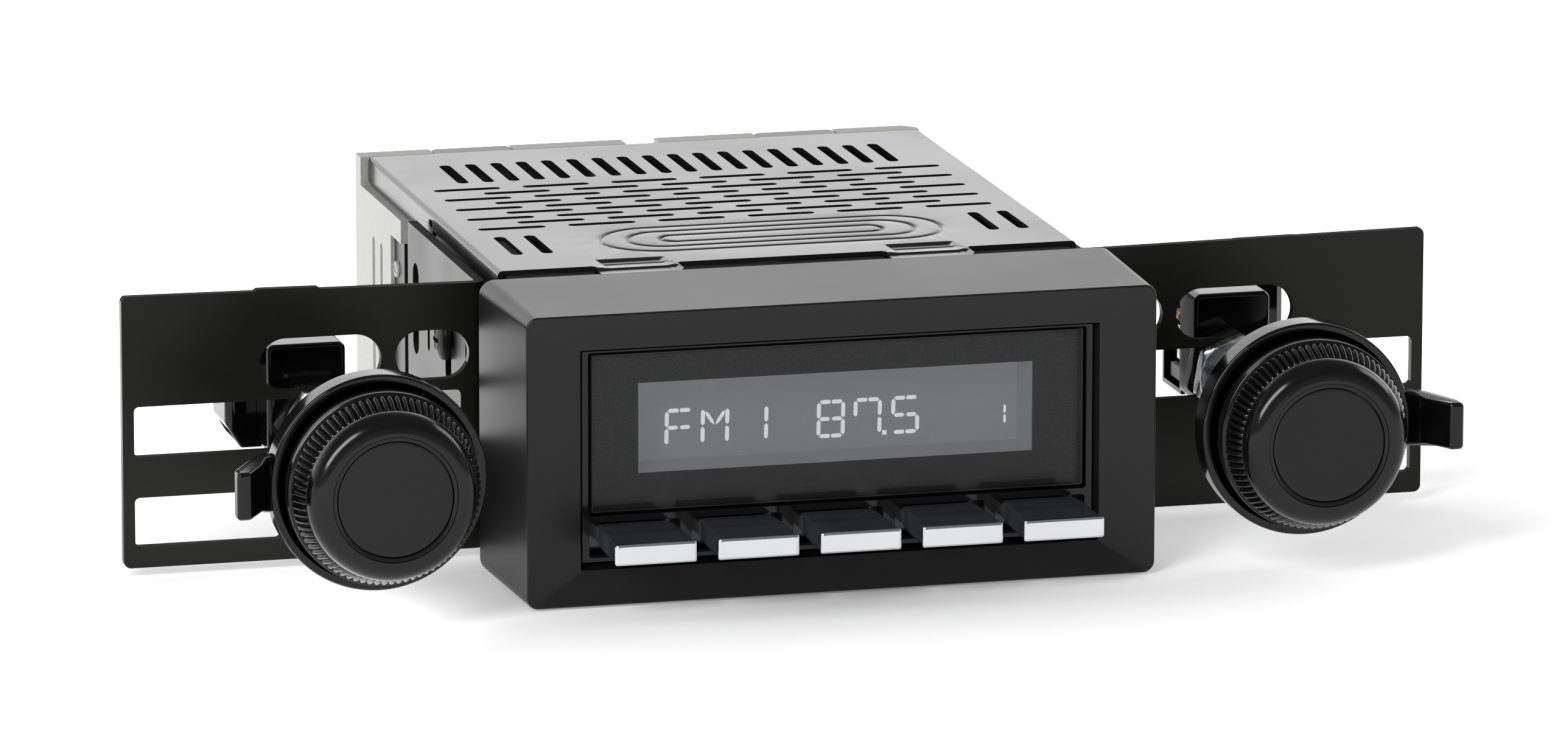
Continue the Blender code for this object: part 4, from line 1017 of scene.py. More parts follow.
def draw_side_strip(shape):
    """Steel strip that closes the chassis side in front of the casting."""
    add_box(shape, (STRIP_X[0], SINK_FRONT_Y + 0.3, 4.0), (STRIP_X[1], SINK_STEP_Y + 0.4, 44.0))


def draw_strip_screw(shape):
    outer = STRIP_X[0]
    profile = [(0.01, outer + 0.3), (1.6, outer + 0.3), (1.6, outer - 0.1), (1.5, outer - 0.4),
               (1.1, outer - 0.6), (0.01, outer - 0.7)]
    add_turned(shape, profile, STRIP_SCREW, 32, axis="X")


def draw_strip_screw_recess(shape):
    add_prism(shape, "X", cross_outline(STRIP_SCREW, 1.1, 0.25, 0.4), (STRIP_X[0] - 1.5, STRIP_X[0] - 0.25))


make("side_strip", draw_side_strip, BLACK_STEEL, bevel=0.15)
make("side_strip_screw", draw_strip_screw, CAST_METAL, cuts=(draw_strip_screw_recess,))


# ---------------------------------------------------------------- sockets in the back wall

POWER_LOW, POWER_HIGH = corners("power_socket")
PHONO_LOW, PHONO_HIGH = corners("phono_sockets")
POWER_WELL_DEPTH = 8.0
POWER_NOTCH_X = (-31.0, -21.0)


def draw_power_shell(shape):
    add_box(shape, POWER_LOW, POWER_HIGH)


def draw_power_wells(shape):
    """Two mating wells, one above the other."""
    wall = 1.8
    mid_z = (POWER_LOW[2] + POWER_HIGH[2]) / 2
    for bottom, top in ((POWER_LOW[2] + wall, mid_z - 0.6), (mid_z + 0.6, POWER_HIGH[2] - wall)):
        add_box(shape, (POWER_LOW[0] + wall, POWER_LOW[1] + POWER_WELL_DEPTH, bottom),
                (POWER_HIGH[0] - wall, POWER_HIGH[1] + 1, top))


def draw_power_notch(shape):
    """Latch notch in the shell's top wall."""
    _, rear, top = POWER_HIGH
    left, right = POWER_NOTCH_X
    add_box(shape, (left, rear - 4, top - 1.5), (right, rear + 1, top + 1))


def draw_power_pins(shape):
    pin = 0.7
    border = 5.0
    low_x, floor_y, low_z = POWER_LOW
    high_x, rear_y, high_z = POWER_HIGH
    for row_z in (low_z + 4.0, low_z + 8.0, high_z - 8.0, high_z - 4.0):
        for column in range(4):
            x = low_x + border + column * (high_x - low_x - 2 * border) / 3
            add_box(shape, (x - pin, floor_y + POWER_WELL_DEPTH, row_z - pin / 2),
                    (x + pin, rear_y - 2.5, row_z + pin / 2))


def draw_phono_body(shape):
    add_box(shape, PHONO_LOW, (PHONO_HIGH[0], SINK_Y[1], PHONO_HIGH[2]))


PHONO_BARRELS = [(x, z) for x in (5.0, 15.0) for z in (16.4, 26.4)]


def draw_phono_sleeves(shape):
    rear = PHONO_HIGH[1]
    for centre in PHONO_BARRELS:
        add_turned(shape, [
            (3.2, SINK_Y[1] + 0.05), (4.1, SINK_Y[1] + 0.05), (4.1, rear - 0.35), (3.75, rear),
            (3.4, rear), (3.2, rear - 0.3),
        ], centre, 40, closed=True)


def draw_phono_inserts(channel):
    def draw(shape):
        rear = PHONO_HIGH[1]
        for centre in PHONO_BARRELS[channel::2]:
            add_turned(shape, [
                (2.0, SINK_Y[1] + 0.1), (3.15, SINK_Y[1] + 0.1), (3.15, rear - 0.9), (2.9, rear - 0.6),
                (1.75, rear - 0.6), (1.6, rear - 0.9), (1.6, SINK_Y[1] + 1.0),
            ], centre, 32, closed=True)
    return draw


def draw_antenna(shape):
    front, rear = span("antenna_socket", "Y")
    radius = half_size("antenna_socket", "X")
    add_turned(shape, [
        (4.1, front + 4), (4.1, rear - 0.4), (4.4, rear), (radius - 0.4, rear), (radius, rear - 0.4),
        (radius, SINK_Y[1] + 0.9), (radius - 0.7, SINK_Y[1] + 0.6), (radius - 0.7, front), (0.9, front),
        (0.9, front + 4),
    ], axis_of("antenna_socket"), 48, closed=True)


make("power_socket_shell", draw_power_shell, CONNECTOR, bevel=0.25, replaces=["power_socket"],
     cuts=(draw_power_wells, draw_power_notch))
make("power_socket_pins", draw_power_pins, TINPLATE, bevel=0.12)
make("phono_block", draw_phono_body, CONNECTOR, bevel=0.3, replaces=["phono_sockets"])
make("phono_sleeves", draw_phono_sleeves, TINPLATE)
make("phono_inserts_red", draw_phono_inserts(0), RED_PLASTIC)
make("phono_inserts_white", draw_phono_inserts(1), WHITE_PLASTIC)
make("antenna_shell", draw_antenna, ZINC, replaces=["antenna_socket"])


# ---------------------------------------------------------------- hex nuts, screws and bushings

def hex_reach(angle, across_flats):
    """Distance from a hexagon's middle to its side in one direction."""
    sector = (angle + math.pi / 6) % (math.pi / 3) - math.pi / 6
    return across_flats / 2 / math.cos(sector)


def draw_nut(node, turn, across_flats):
    """Hexagon nut with its corners turned off on both faces, left where it was tightened."""
    centre = axis_of(node)
    front, rear = span(node, "Y")
    bore = 3.75
    steps = 96
    flat = across_flats / 2
    chamfer = math.tan(math.radians(62))
    chamfer_depths = (0.15, 0.3, 0.45, 0.6, 0.75)

    def ring(y, limit):
        """The hexagon at one height, no corner further out than the limit."""
        points = []
        for step in range(steps):
            angle = math.tau * step / steps
            reach = min(hex_reach(angle + turn, across_flats), limit)
            points.append((centre[0] + reach * math.cos(angle), centre[1] + reach * math.sin(angle)))
        return lay(points, y)

    def draw(shape):
        rings = [ring(front, bore), ring(front, flat - 0.35)]
        rings += [ring(front + depth, flat - 0.2 + depth * chamfer) for depth in chamfer_depths]
        rings += [ring(rear - depth, flat - 0.2 + depth * chamfer) for depth in reversed(chamfer_depths)]
        rings += [ring(rear, flat - 0.35), ring(rear, bore)]
        add_loft(shape, rings, closed=True)
    return draw


def draw_threads(centre, ends, radius, bore, pitch=0.75):
    """A threaded tube, as rings that rise and fall once each pitch."""
    def draw(shape):
        profile = [(bore, ends[0]), (radius - 0.4, ends[0]), (radius - 0.1, ends[0] + 0.3)]
        y = ends[0] + 0.3 + pitch / 2
        while y + pitch / 2 < ends[1]:
            profile += [(radius - 0.32, y), (radius, y + pitch / 2)]
            y += pitch
        profile += [(radius - 0.3, ends[1]), (bore, ends[1])]
        add_turned(shape, profile, centre, 40, closed=True)
    return draw


def draw_screw(node, side):
    """Pan-head machine screw with a cross recess, lying along X."""
    centre = (middle(node, "Y"), middle(node, "Z"))
    tip, head_top = outward(node)
    head_height = 2.2
    head_radius = half_size(node, "Z")
    shank = 1.9
    dome = 1.3
    profile = [(0.6, tip), (shank - 0.4, tip + 0.3), (shank, tip + 0.8), (shank, head_top - head_height)]
    profile += [(head_radius, head_top - head_height), (head_radius, head_top - dome)]
    for rise in (0.25, 0.5, 0.72, 0.88, 0.97, 1.0):
        profile.append((head_radius * math.cos(rise * math.pi / 2 * 0.75), head_top - dome + dome * rise))

    def draw(shape):
        add_turned(shape, [(radius, side * x) for radius, x in profile], centre, 40, axis="X")

    def recess(shape):
        ends = sorted((side * (head_top - 1.4), side * (head_top + 1)))
        add_prism(shape, "X", cross_outline(centre, shank, 0.42, 0.0), ends)
    return draw, recess


# ---------------------------------------------------------------- side brackets

PLATE_Y = (42.84, 44.64)
PLATE_OUTER = outward("left_side_bracket")[1]
PLATE_Z = span("left_side_bracket", "Z")
FLANGE_X = (55.2, 57.0)
FLANGE_REAR_Y = span("left_side_bracket", "Y")[1]
FLANGE_STEP_Y = 47.0
FLANGE_TOP_Z = 50.9
BEND_OUTER = 2.4
BEND_INNER = 0.6
PLATE_CORNER = 1.3
SLOTS = (((74.6, 32.94), (97.0, 42.54)), ((58.4, 33.5), (72.0, 42.6)))
WINDOWS = (((60.0, 22.19), (120.0, 31.39)), ((93.2, 5.7), (120.0, 14.7)))
FLANGE_SLOTS_Y = (65.6, 92.0)
FLANGE_SLOTS_Z = ((27.2, 44.3), (5.0, 22.1))
FLANGE_SLITS = ((51.0, (27.2, 44.3)), (81.5, (30.0, 41.5)))
THROUGH_PLATE = (PLATE_Y[0] - 3, PLATE_Y[1] + 3)
# The plate's top edge falls towards the radio: (distance from the middle, height)
PLATE_TOP_LINE = ((54.0, 50.9), (122.5, 51.65))
RAISED_EDGE_X = (85.9, 97.5)
RAISED_EDGE = {-1: 0.4, 1: 0.08}


def bracket_plan(side):
    """Plan view of the folded plate: a long face and a flange that runs back along the chassis."""
    outer_centre = (FLANGE_X[0] + BEND_OUTER, PLATE_Y[0] + BEND_OUTER)
    inner_centre = (FLANGE_X[1] + BEND_INNER, PLATE_Y[1] + BEND_INNER)
    outline = [(PLATE_OUTER, PLATE_Y[0]), (PLATE_OUTER, PLATE_Y[1])]
    outline += arc(inner_centre, BEND_INNER, -90, -180, 6)
    outline += [(FLANGE_X[1], FLANGE_REAR_Y), (FLANGE_X[0], FLANGE_REAR_Y)]
    outline += arc(outer_centre, BEND_OUTER, 180, 270, 8)
    return flip(side, outline)


def mirrored(side, low, high):
    """The same window on either side of the radio."""
    if side > 0:
        return low, high
    return (-high[0], low[1]), (-low[0], high[1])


def blacken_edges(plate):
    """The sheet's upward cut edges are dull, unlike its rolled faces."""
    plate.data.materials.append(CUT_EDGE)
    for face in plate.data.polygons:
        if face.normal.z > 0.35:
            face.material_index = 1


def make_bracket(name, side):
    def sheet(shape):
        add_prism(shape, "Z", bracket_plan(side), PLATE_Z)

    def windows(shape):
        for low, high in SLOTS:
            add_prism(shape, "Y", stadium(*mirrored(side, low, high), 12), THROUGH_PLATE)
        for low, high in WINDOWS:
            add_prism(shape, "Y", rounded_rectangle(*mirrored(side, low, high), 0.9, 5), THROUGH_PLATE)

    def flange_slots(shape):
        through = sorted((side * (FLANGE_X[0] - 2), side * (FLANGE_X[1] + 2)))
        for y in FLANGE_SLOTS_Y:
            for heights in FLANGE_SLOTS_Z:
                add_prism(shape, "X", centred_slot(y, 2.35, heights, 8), through)
        for y, heights in FLANGE_SLITS:
            add_prism(shape, "X", centred_slot(y, 0.9, heights, 5), through)

    def top_line(distance):
        (near_x, near_z), (far_x, far_z) = PLATE_TOP_LINE
        return near_z + (far_z - near_z) * (distance - near_x) / (far_x - near_x)

    def sloping_top(shape):
        """Waste above the plate's sloping top edge and its raised length."""
        inner, outer = RAISED_EDGE_X
        rise = RAISED_EDGE[side]
        outline = [
            (50.0, top_line(50.0)), (inner - 0.3, top_line(inner)), (inner + 0.3, top_line(inner) + rise),
            (outer - 0.3, top_line(outer) + rise), (outer + 0.3, top_line(outer)), (125.0, top_line(125.0)),
            (125.0, PLATE_Z[1] + 5), (50.0, PLATE_Z[1] + 5),
        ]
        add_prism(shape, "Y", flip(side, outline), (PLATE_Y[0] - 3, FLANGE_STEP_Y + 1))

    def flange_step(shape):
        add_side_box(shape, side, (FLANGE_X[0] - 2, FLANGE_STEP_Y, FLANGE_TOP_Z),
                     (FLANGE_X[1] + 2, FLANGE_REAR_Y + 5, PLATE_Z[1] + 5))

    def corner_trims(shape):
        """Waste outside the rounded outer corners of the plate."""
        for z, up in ((PLATE_Z[0], -1), (PLATE_Z[1], 1)):
            centre = (PLATE_OUTER - PLATE_CORNER, z - up * PLATE_CORNER)
            outline = arc(centre, PLATE_CORNER, 0, 90 * up, 6)
            outline += [(centre[0], z + up * 3), (PLATE_OUTER + 3, z + up * 3), (PLATE_OUTER + 3, centre[1])]
            add_prism(shape, "Y", flip(side, outline), THROUGH_PLATE)

    plate = make(f"{name}_bracket_sheet", sheet, BLACK_STEEL, f"{name}_bracket", bevel=0.16,
                 replaces=[f"{name}_side_bracket"],
                 cuts=(windows, flange_slots, flange_step, sloping_top, corner_trims))
    blacken_edges(plate)
    for label in ("front", "rear"):
        node = f"{name}_bracket_screw_{label}"
        draw, recess = draw_screw(node, side)
        make(f"{name}_screw_{label}", draw, BLACK_STEEL, replaces=[node], cuts=(recess,))


# ---------------------------------------------------------------- control modules

# Radii of the bushing's outside and bore, and of the bores round it
BUSHING_RADIUS = 3.4
BUSHING_BORE = 2.8
POD_BORE = 3.8
CAN_BORE = 2.9
# Every bore's cutter starts in front of the plate
BORE_FRONT_Y = 30.0
CAN_FRONT_Y = 49.9
HOUSING_WALL = 0.9
HOUSING_BEVEL = 1.3
NUT_ACROSS_FLATS = 14.2
# How far each side's nuts were turned when they were tightened, in degrees
NUT_TURN = {-1: 30, 1: 10}


def make_pod(name, centre):
    """Black block above the shaft, hollow from the back."""
    node = f"{name}_control_pod"
    (low_x, front, low_z), (high_x, rear, high_z) = corners(node)

    def ring(margin, radius, y):
        return lay(rounded_rectangle(*grown((low_x, low_z), (high_x, high_z), -margin), radius), y)

    def pod(shape):
        rings = [ring(1.2, 0.4, front + 1.2), ring(1.2, 0.4, rear)]
        rings.append(ring(0.0, 1.4, rear))
        for margin, depth in ((0.0, 0.8), (0.11, 0.4), (0.4, 0.11), (0.8, 0.0)):
            rings.append(ring(margin, 1.4 - margin * 0.8, front + depth))
        add_loft(shape, rings)

    def bore(shape):
        add_prism(shape, "Y", circle(centre, POD_BORE), (BORE_FRONT_Y, rear))

    make(f"{name}_pod_shell", pod, GLOSS_PLASTIC, f"{name}_control", replaces=[node], cuts=(bore,))


def make_housing(name, side):
    """Box behind the pod, open towards the radio, with a bevelled front corner and a chamfered foot."""
    node = f"{name}_control_housing"
    near, far = outward(node)
    low_z, high_z = span(node, "Z")
    front, rear = span(node, "Y")

    def plan(wall, inner_x):
        """Plan view of the box, drawn in by a wall's thickness."""
        bevel = HOUSING_BEVEL + wall * 0.4
        return flip(side, [(inner_x, front + wall), (far - bevel, front + wall), (far - wall, front + bevel),
                           (far - wall, rear - wall), (inner_x, rear - wall)])

    def housing(shape):
        add_prism(shape, "Z", plan(0.0, near), (low_z, high_z))

    def cavity(shape):
        add_prism(shape, "Z", plan(HOUSING_WALL, near - 1), (low_z + HOUSING_WALL, high_z - HOUSING_WALL))

    def chamfer(shape):
        outline = [(far - 2.7, low_z - 1), (far + 1, low_z - 1), (far + 1, low_z + 4.5), (far, low_z + 4.5),
                   (far - 2.7, low_z)]
        add_prism(shape, "Y", flip(side, outline), (front - 1, rear + 1))

    make(f"{name}_housing_shell", housing, GLOSS_PLASTIC, f"{name}_control", bevel=0.4, replaces=[node],
         cuts=(chamfer, cavity))


def make_side_board(name, side):
    """Upright board inside the housing's open side, with a shield can, a plug and a resistor."""
    node = f"{name}_control_housing"
    board_x = outward(node)[0] + 1.9
    low_z, high_z = span(node, "Z")
    front, rear = span(node, "Y")
    parts = (
        ("side_board", BOARD_BLACK, 0.1, (0.0, front + HOUSING_WALL + 0.1, low_z + 1.2),
         (0.9, rear - HOUSING_WALL - 0.1, high_z - 1.2)),
        ("board_shield", TINPLATE, 0.2, (-0.7, 60.2, 24.6), (-0.02, 64.8, 31.2)),
        ("board_plug", WHITE_PLASTIC, 0.2, (-1.2, 59.3, 20.9), (-0.02, 67.0, 23.6)),
    )
    for label, finish, bevel, low, high in parts:
        def part(shape):
            add_side_box(shape, side, (board_x + low[0], *low[1:]), (board_x + high[0], *high[1:]))
        make(f"{name}_{label}", part, finish, f"{name}_control", bevel=bevel)

    def resistor(shape):
        profile = [(0.01, 59.1), (0.8, 59.1), (1.05, 59.4), (1.05, 60.0), (0.85, 60.3), (0.85, 61.6),
                   (1.05, 61.9), (1.05, 62.5), (0.8, 62.8), (0.01, 62.8)]
        add_turned(shape, profile, (side * (board_x - 1.1), 33.6), 24)

    make(f"{name}_board_resistor", resistor, ORANGE_PLASTIC, f"{name}_control")


def make_encoder(name, centre):
    """Rotary control's can behind the plate, and the threaded bushing in front of it."""
    node = f"{name}_encoder"
    (low_x, front, low_z), (high_x, rear, high_z) = corners(node)

    def can(shape):
        add_box(shape, (low_x, CAN_FRONT_Y, low_z), (high_x, rear, high_z))

    def bore(shape):
        add_prism(shape, "Y", circle(centre, CAN_BORE), (BORE_FRONT_Y, rear + 2))

    body = f"{name}_control"
    make(f"{name}_encoder_can", can, TINPLATE, body, bevel=0.3, replaces=[node], cuts=(bore,))
    threads = draw_threads(centre, (front, CAN_FRONT_Y + 0.05), BUSHING_RADIUS, BUSHING_BORE)
    make(f"{name}_bushing", threads, ZINC, body)


def make_module(name, side):
    centre = axis_of(f"{name}_shaft_nut_front")
    make_side_board(name, side)
    make_pod(name, centre)
    make_housing(name, side)
    for label, finish in (("front", ZINC), ("rear", BLACK_STEEL)):
        node = f"{name}_shaft_nut_{label}"
        make(f"{name}_nut_{label}", draw_nut(node, math.radians(NUT_TURN[side]), NUT_ACROSS_FLATS),
             finish, f"{name}_control", replaces=[node])
    make_encoder(name, centre)
    dress(f"{name}_control_board", BOARD_BLACK, 0.1)


# ---------------------------------------------------------------- lever rings, shafts and knobs

RING_RADIUS = 19.5
RING_Y = (-3.0, 2.2)
RING_FLOOR_Y = 0.3
PADDLE_RISE = 0.8
PADDLE_FRONT_Y = span("left_lever_ring", "Y")[0]
PADDLE_TIP = outward("left_lever_ring")[1] - abs(middle("left_knob", "X"))
KNOB_Y = span("left_knob", "Y")
KNOB_RADIUS = half_size("left_knob", "Z")
INLAY_RADIUS = half_size("left_knob_inlay", "Z")
RIB_COUNT = 80
RIB_SAMPLES = 8
RIB_HEIGHT = 0.72
SHOULDER_RADIUS = 15.3
SHOULDER_CURVE = 3.4
RIB_DEPTH = (3.9, 8.4)
RIB_FOOT_RADIUS = (14.85, 16.75)
RIM_DEPTH = 8.6
# How far along its length a rib has risen, from 0 to 1
RIB_SHAPE = ((0.0, 0.15), (0.04, 0.55), (0.10, 0.85), (0.22, 1.0), (0.5, 1.0), (0.72, 0.95), (0.86, 0.75),
             (0.94, 0.45), (1.0, 0.05))


def ribbed_ring(centre, radius, rise, y):
    """A ring of rounded ribs; rise is how far they stand above the radius."""
    steps = RIB_COUNT * RIB_SAMPLES
    ring = []
    for step in range(steps):
        angle = math.tau * step / steps
        swell = math.sin(math.pi * (step % RIB_SAMPLES) / RIB_SAMPLES)
        reach = radius + rise * swell
        ring.append((centre[0] + reach * math.cos(angle), centre[1] + reach * math.sin(angle)))
    return lay(ring, y)


def knob_sections():
    """Radius, depth behind the front, and rib height along the knob, from the inlay's bed to the rear."""
    sections = [(0.5, 1.15, 0.0)]
    for beyond, depth in ((0.12, 1.15), (0.12, 0.62), (0.2, 0.32), (0.35, 0.24), (0.82, 0.19), (0.88, 0.24),
                          (0.95, 0.06), (1.1, 0.0)):
        sections.append((INLAY_RADIUS + beyond, depth, 0.0))
    shoulder_centre = (SHOULDER_RADIUS - 0.05 - SHOULDER_CURVE, SHOULDER_CURVE + 0.1)
    sections += [(radius, depth, 0.0) for radius, depth in arc(shoulder_centre, SHOULDER_CURVE, -88, 0, 12)]
    sections.append((SHOULDER_RADIUS, RIB_DEPTH[0] - 0.35, 0.0))
    sections.append((SHOULDER_RADIUS - 0.08, RIB_DEPTH[0] - 0.15, 0.0))
    for along, rise in RIB_SHAPE:
        radius = RIB_FOOT_RADIUS[0] + (RIB_FOOT_RADIUS[1] - RIB_FOOT_RADIUS[0]) * along
        depth = RIB_DEPTH[0] + (RIB_DEPTH[1] - RIB_DEPTH[0]) * along
        sections.append((radius, depth, RIB_HEIGHT * rise))
    rear = KNOB_Y[1] - KNOB_Y[0]
    rim = ((0.25, RIM_DEPTH - 0.05), (0.05, RIM_DEPTH + 0.1), (0.0, RIM_DEPTH + 0.3), (0.0, rear - 0.5),
           (0.15, rear - 0.15), (0.5, rear))
    sections += [(KNOB_RADIUS - inward, depth, 0.0) for inward, depth in rim]
    hollow = ((14.6, rear), (13.2, 6.6), (4.6, 6.6), (4.6, rear), (1.8, rear), (1.8, 4.6))
    sections += [(radius, depth, 0.0) for radius, depth in hollow]
    return sections


def make_knob(name):
    centre = axis_of(f"{name}_knob")
    front = KNOB_Y[0]

    def knob(shape):
        add_loft(shape, [ribbed_ring(centre, radius, rise, front + depth)
                         for radius, depth, rise in knob_sections()])

    def inlay(shape):
        edge = ((0.0, 1.0), (0.0, 0.5), (0.05, 0.38), (0.2, 0.31), (0.5, 0.3), (INLAY_RADIUS - 0.3, 0.28))
        add_turned(shape, [(INLAY_RADIUS - inward, front + depth) for inward, depth in edge], centre, 128)

    make(f"{name}_knob_shell", knob, KNOB_PLASTIC, f"{name}_knob_turn", replaces=[f"{name}_knob"])
    make(f"{name}_knob_face", inlay, MATTE_INLAY, f"{name}_knob_turn", replaces=[f"{name}_knob_inlay"])
    dress(f"{name}_knob_shaft", ZINC)
    dress(f"{name}_push_plunger", WHITE_PLASTIC)


def make_lever(name, side):
    centre = axis_of(f"{name}_lever_sleeve")
    body = f"{name}_lever"

    def disc(shape):
        """Deep-dished ring: a tall outer wall with a flat rim in front of the dish's floor."""
        front, rear = RING_Y
        rim = RING_RADIUS - 1.35
        profile = [
            (2.8, RING_FLOOR_Y), (rim - 1.2, RING_FLOOR_Y), (rim - 0.7, RING_FLOOR_Y - 0.3),
            (rim - 0.35, front + 0.9), (rim - 0.12, front + 0.2), (rim, front + 0.03), (rim + 0.2, front),
        ]
        profile += arc((RING_RADIUS - 0.45, front + 0.45), 0.45, -90, 0)
        profile += [(RING_RADIUS, rear - 0.3), (RING_RADIUS - 0.1, rear - 0.08), (RING_RADIUS - 0.3, rear),
                    (2.8, rear)]
        add_turned(shape, profile, centre, 144, closed=True)

    def paddle(shape):
        """Arm that flares into the ring and leans forward to an upright grip, as two matching outlines."""
        front, rear = RING_Y
        outline = [
            (RING_RADIUS - 0.9, front + 0.5, 5.1), (RING_RADIUS + 0.4, front - 0.4, 4.9), (21.4, -5.3, 4.5),
            (24.6, PADDLE_FRONT_Y, 4.3), (PADDLE_TIP, PADDLE_FRONT_Y, 4.3),
            (PADDLE_TIP, PADDLE_FRONT_Y + 3.2, 4.3), (23.0, -1.4, 4.4), (RING_RADIUS + 0.6, rear - 0.4, 4.9),
            (RING_RADIUS - 0.9, rear - 0.3, 5.1),
        ]
        rings = []
        for height in (-1, 1):
            rings.append([(centre[0] + side * x, y, centre[1] + PADDLE_RISE + height * half)
                          for x, y, half in outline])
        add_loft(shape, rings)

    make(f"{name}_lever_disc", disc, GLOSS_PLASTIC, body, replaces=[f"{name}_lever_ring"])
    make(f"{name}_lever_grip", paddle, GLOSS_PLASTIC, body, bevel=0.9, segments=5)
    dress(f"{name}_lever_sleeve", ZINC)


for side_name, side_sign in SIDES:
    make_bracket(side_name, side_sign)
    make_module(side_name, side_sign)
    make_lever(side_name, side_sign)
    make_knob(side_name)


# ---------------------------------------------------------------- pieces kept from the frame

for carried, carried_finish, rounding in (
    ("chassis_tray", BLACK_STEEL, 0.2),
    ("front_housing", SATIN_PLASTIC, 0.3),
    ("backlight_panel", WHITE_PLASTIC, 0.2),
    ("front_circuit_board", BOARD_GREEN, 0.0),
    ("button_switch_strip", CONNECTOR, 0.1),
    ("main_circuit_board", BOARD_GREEN, 0.0),
    ("tuner_module", TINPLATE, 0.4),
    ("power_amplifier", CONNECTOR, 0.3),
    ("filter_capacitor", SLEEVE, 0.6),
):
    dress(carried, carried_finish, rounding)


# ---------------------------------------------------------------- floor, lights and camera

# The floor glows a little under the radio and more behind it, like the foot of a lit sweep
FLOOR_GLOW = (0.45, 1.4)
FLOOR_RISE_Y = (-0.02, 0.14)
# Soft round patches of painted shadow and painted light on the floor: (centre, radii, change of glow)
FLOOR_PAINTED_SHADOW_AND_LIGHT = (
    # Painted shadow: less glow around the foot of the bezel, standing in for its contact shadow
    ((0.0, -0.075), (0.13, 0.05), -0.40),
    # Painted light: more glow under the left knob, washing out the shadow that the knob casts there
    ((-0.097, -0.066), (0.045, 0.045), 1.6),
)


def floor_material():
    """White floor whose glow rises towards the back, with soft round patches of painted shadow and painted
    light in it.
    """
    material = surface("floor_white", (0.86, 0.86, 0.86), 0.85, level=0.1, mottle=0.0, relief=0.0)
    tree = material.node_tree
    shader = tree.nodes["Principled BSDF"]
    coordinates = tree.nodes.new("ShaderNodeTexCoord")
    split = tree.nodes.new("ShaderNodeSeparateXYZ")
    tree.links.new(coordinates.outputs["Object"], split.inputs["Vector"])
    glow = add_range(tree, split.outputs["Y"], FLOOR_RISE_Y, FLOOR_GLOW)
    for centre, radii, change in FLOOR_PAINTED_SHADOW_AND_LIGHT:
        placed = tree.nodes.new("ShaderNodeMapping")
        placed.vector_type = "TEXTURE"
        placed.inputs["Location"].default_value = (*centre, 0.0)
        placed.inputs["Scale"].default_value = (*radii, 1.0)
        tree.links.new(coordinates.outputs["Object"], placed.inputs["Vector"])
        painted_patch = tree.nodes.new("ShaderNodeTexGradient")
        painted_patch.gradient_type = "QUADRATIC_SPHERE"
        tree.links.new(placed.outputs["Vector"], painted_patch.inputs["Vector"])
        glow = multiply_add(tree, painted_patch.outputs["Fac"], change, glow)
    shader.inputs["Emission Color"].default_value = (1.0, 1.0, 1.0, 1.0)
    tree.links.new(glow, shader.inputs["Emission Strength"])
    return material


def make_floor():
    size = 9.0
    mesh = bpy.data.meshes.new("floor")
    corners = [(-size, -size, 0), (size, -size, 0), (size, size, 0), (-size, size, 0)]
    mesh.from_pydata(corners, [], [(0, 1, 2, 3)])
    floor = bpy.data.objects.new("floor", mesh)
    bpy.context.scene.collection.objects.link(floor)
    mesh.materials.append(floor_material())


def add_area(name, location, target, size, power, roll=0.0):
    """Softbox aimed at a target; roll turns it about the way that it faces, in degrees."""
    light = bpy.data.lights.new(name, "AREA")
    light.shape = "RECTANGLE"
    light.size, light.size_y = size
    light.energy = power
    lamp = bpy.data.objects.new(name, light)
    bpy.context.scene.collection.objects.link(lamp)
    facing = (Vector(target) - Vector(location)).to_track_quat("-Z", "Y").to_matrix()
    turned = facing @ Matrix.Rotation(math.radians(roll), 3, "Z")
    lamp.matrix_world = Matrix.Translation(Vector(location)) @ turned.to_4x4()


# Brightness of the studio: the sweep behind the radio, and the dim room in front of it and overhead
SKY_SWEEP = 1.42
SKY_HORIZON = 0.40
SKY_ROOM = 0.22


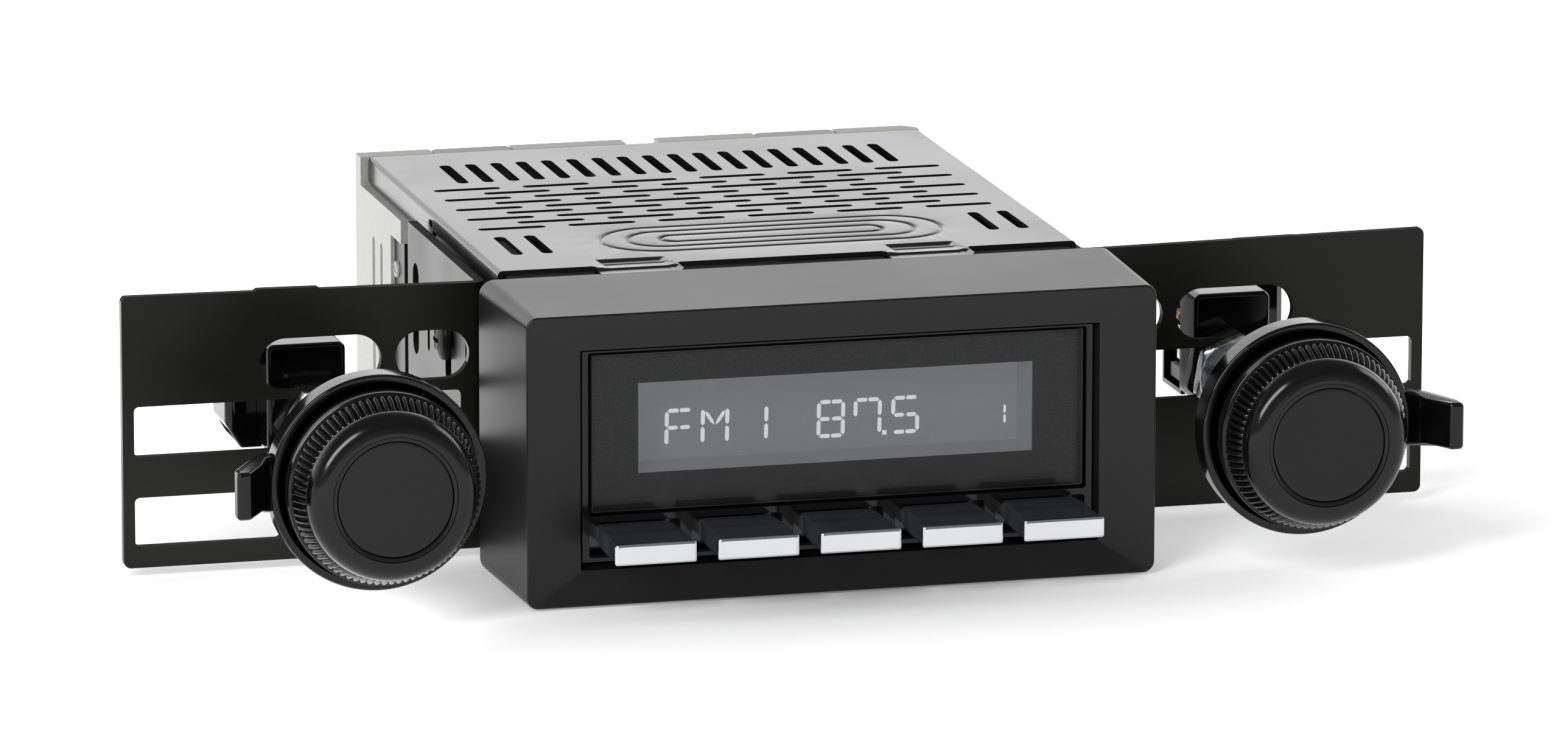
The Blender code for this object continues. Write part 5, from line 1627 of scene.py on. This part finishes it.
def make_sky():
    """Studio surround: a bright sweep low down behind the radio, and a dim room everywhere else."""
    world = bpy.data.worlds.new("studio")
    bpy.context.scene.world = world
    world.use_nodes = True
    tree = world.node_tree
    background = tree.nodes["Background"]
    background.inputs["Color"].default_value = (1.0, 1.0, 1.0, 1.0)
    coordinates = tree.nodes.new("ShaderNodeTexCoord")
    split = tree.nodes.new("ShaderNodeSeparateXYZ")
    tree.links.new(coordinates.outputs["Generated"], split.inputs["Vector"])
    behind = add_range(tree, split.outputs["Y"], (-0.2, 0.75), (0.0, SKY_SWEEP))
    room = add_range(tree, split.outputs["Z"], (0.15, 0.5), (SKY_HORIZON, SKY_ROOM))
    low = add_range(tree, split.outputs["Z"], (0.3, 0.75), (1.0, 0.0))
    tree.links.new(multiply_add(tree, behind, low, room), background.inputs["Strength"])


CAMERA_AZIMUTH = math.radians(-14.8)
CAMERA_ELEVATION = math.radians(12.63)
CAMERA_ROLL = math.radians(0.09)
CAMERA_DISTANCE = 1.91802
CAMERA_AIM = Vector((-0.01102, -0.07, 0.04096))
CAMERA_LENS = 248.1


def make_camera():
    data = bpy.data.cameras.new("camera")
    data.lens = CAMERA_LENS
    data.sensor_width = 36.0
    data.clip_start = 0.05
    data.clip_end = 50.0
    camera = bpy.data.objects.new("camera", data)
    bpy.context.scene.collection.objects.link(camera)
    back = Vector((
        math.sin(CAMERA_AZIMUTH) * math.cos(CAMERA_ELEVATION),
        -math.cos(CAMERA_AZIMUTH) * math.cos(CAMERA_ELEVATION),
        math.sin(CAMERA_ELEVATION),
    ))
    right = Vector((math.cos(CAMERA_AZIMUTH), math.sin(CAMERA_AZIMUTH), 0.0))
    up = back.cross(right)
    rolled_right = right * math.cos(CAMERA_ROLL) + up * math.sin(CAMERA_ROLL)
    rolled_up = up * math.cos(CAMERA_ROLL) - right * math.sin(CAMERA_ROLL)
    rotation = Matrix((rolled_right, rolled_up, back)).transposed()
    camera.matrix_world = Matrix.Translation(CAMERA_AIM + back * CAMERA_DISTANCE) @ rotation.to_4x4()
    bpy.context.scene.camera = camera


make_floor()
make_sky()
add_area("left_softbox", (-1.32, -1.36, 1.2), (0.0, -0.05, 0.03), (0.55, 1.4), 34.0, roll=-35.0)
add_area("right_softbox", (1.9, 0.35, 1.1), (0.0, 0.0, 0.03), (1.0, 1.0), 10.0)
make_camera()
bpy.context.scene.view_settings.view_transform = "Standard"
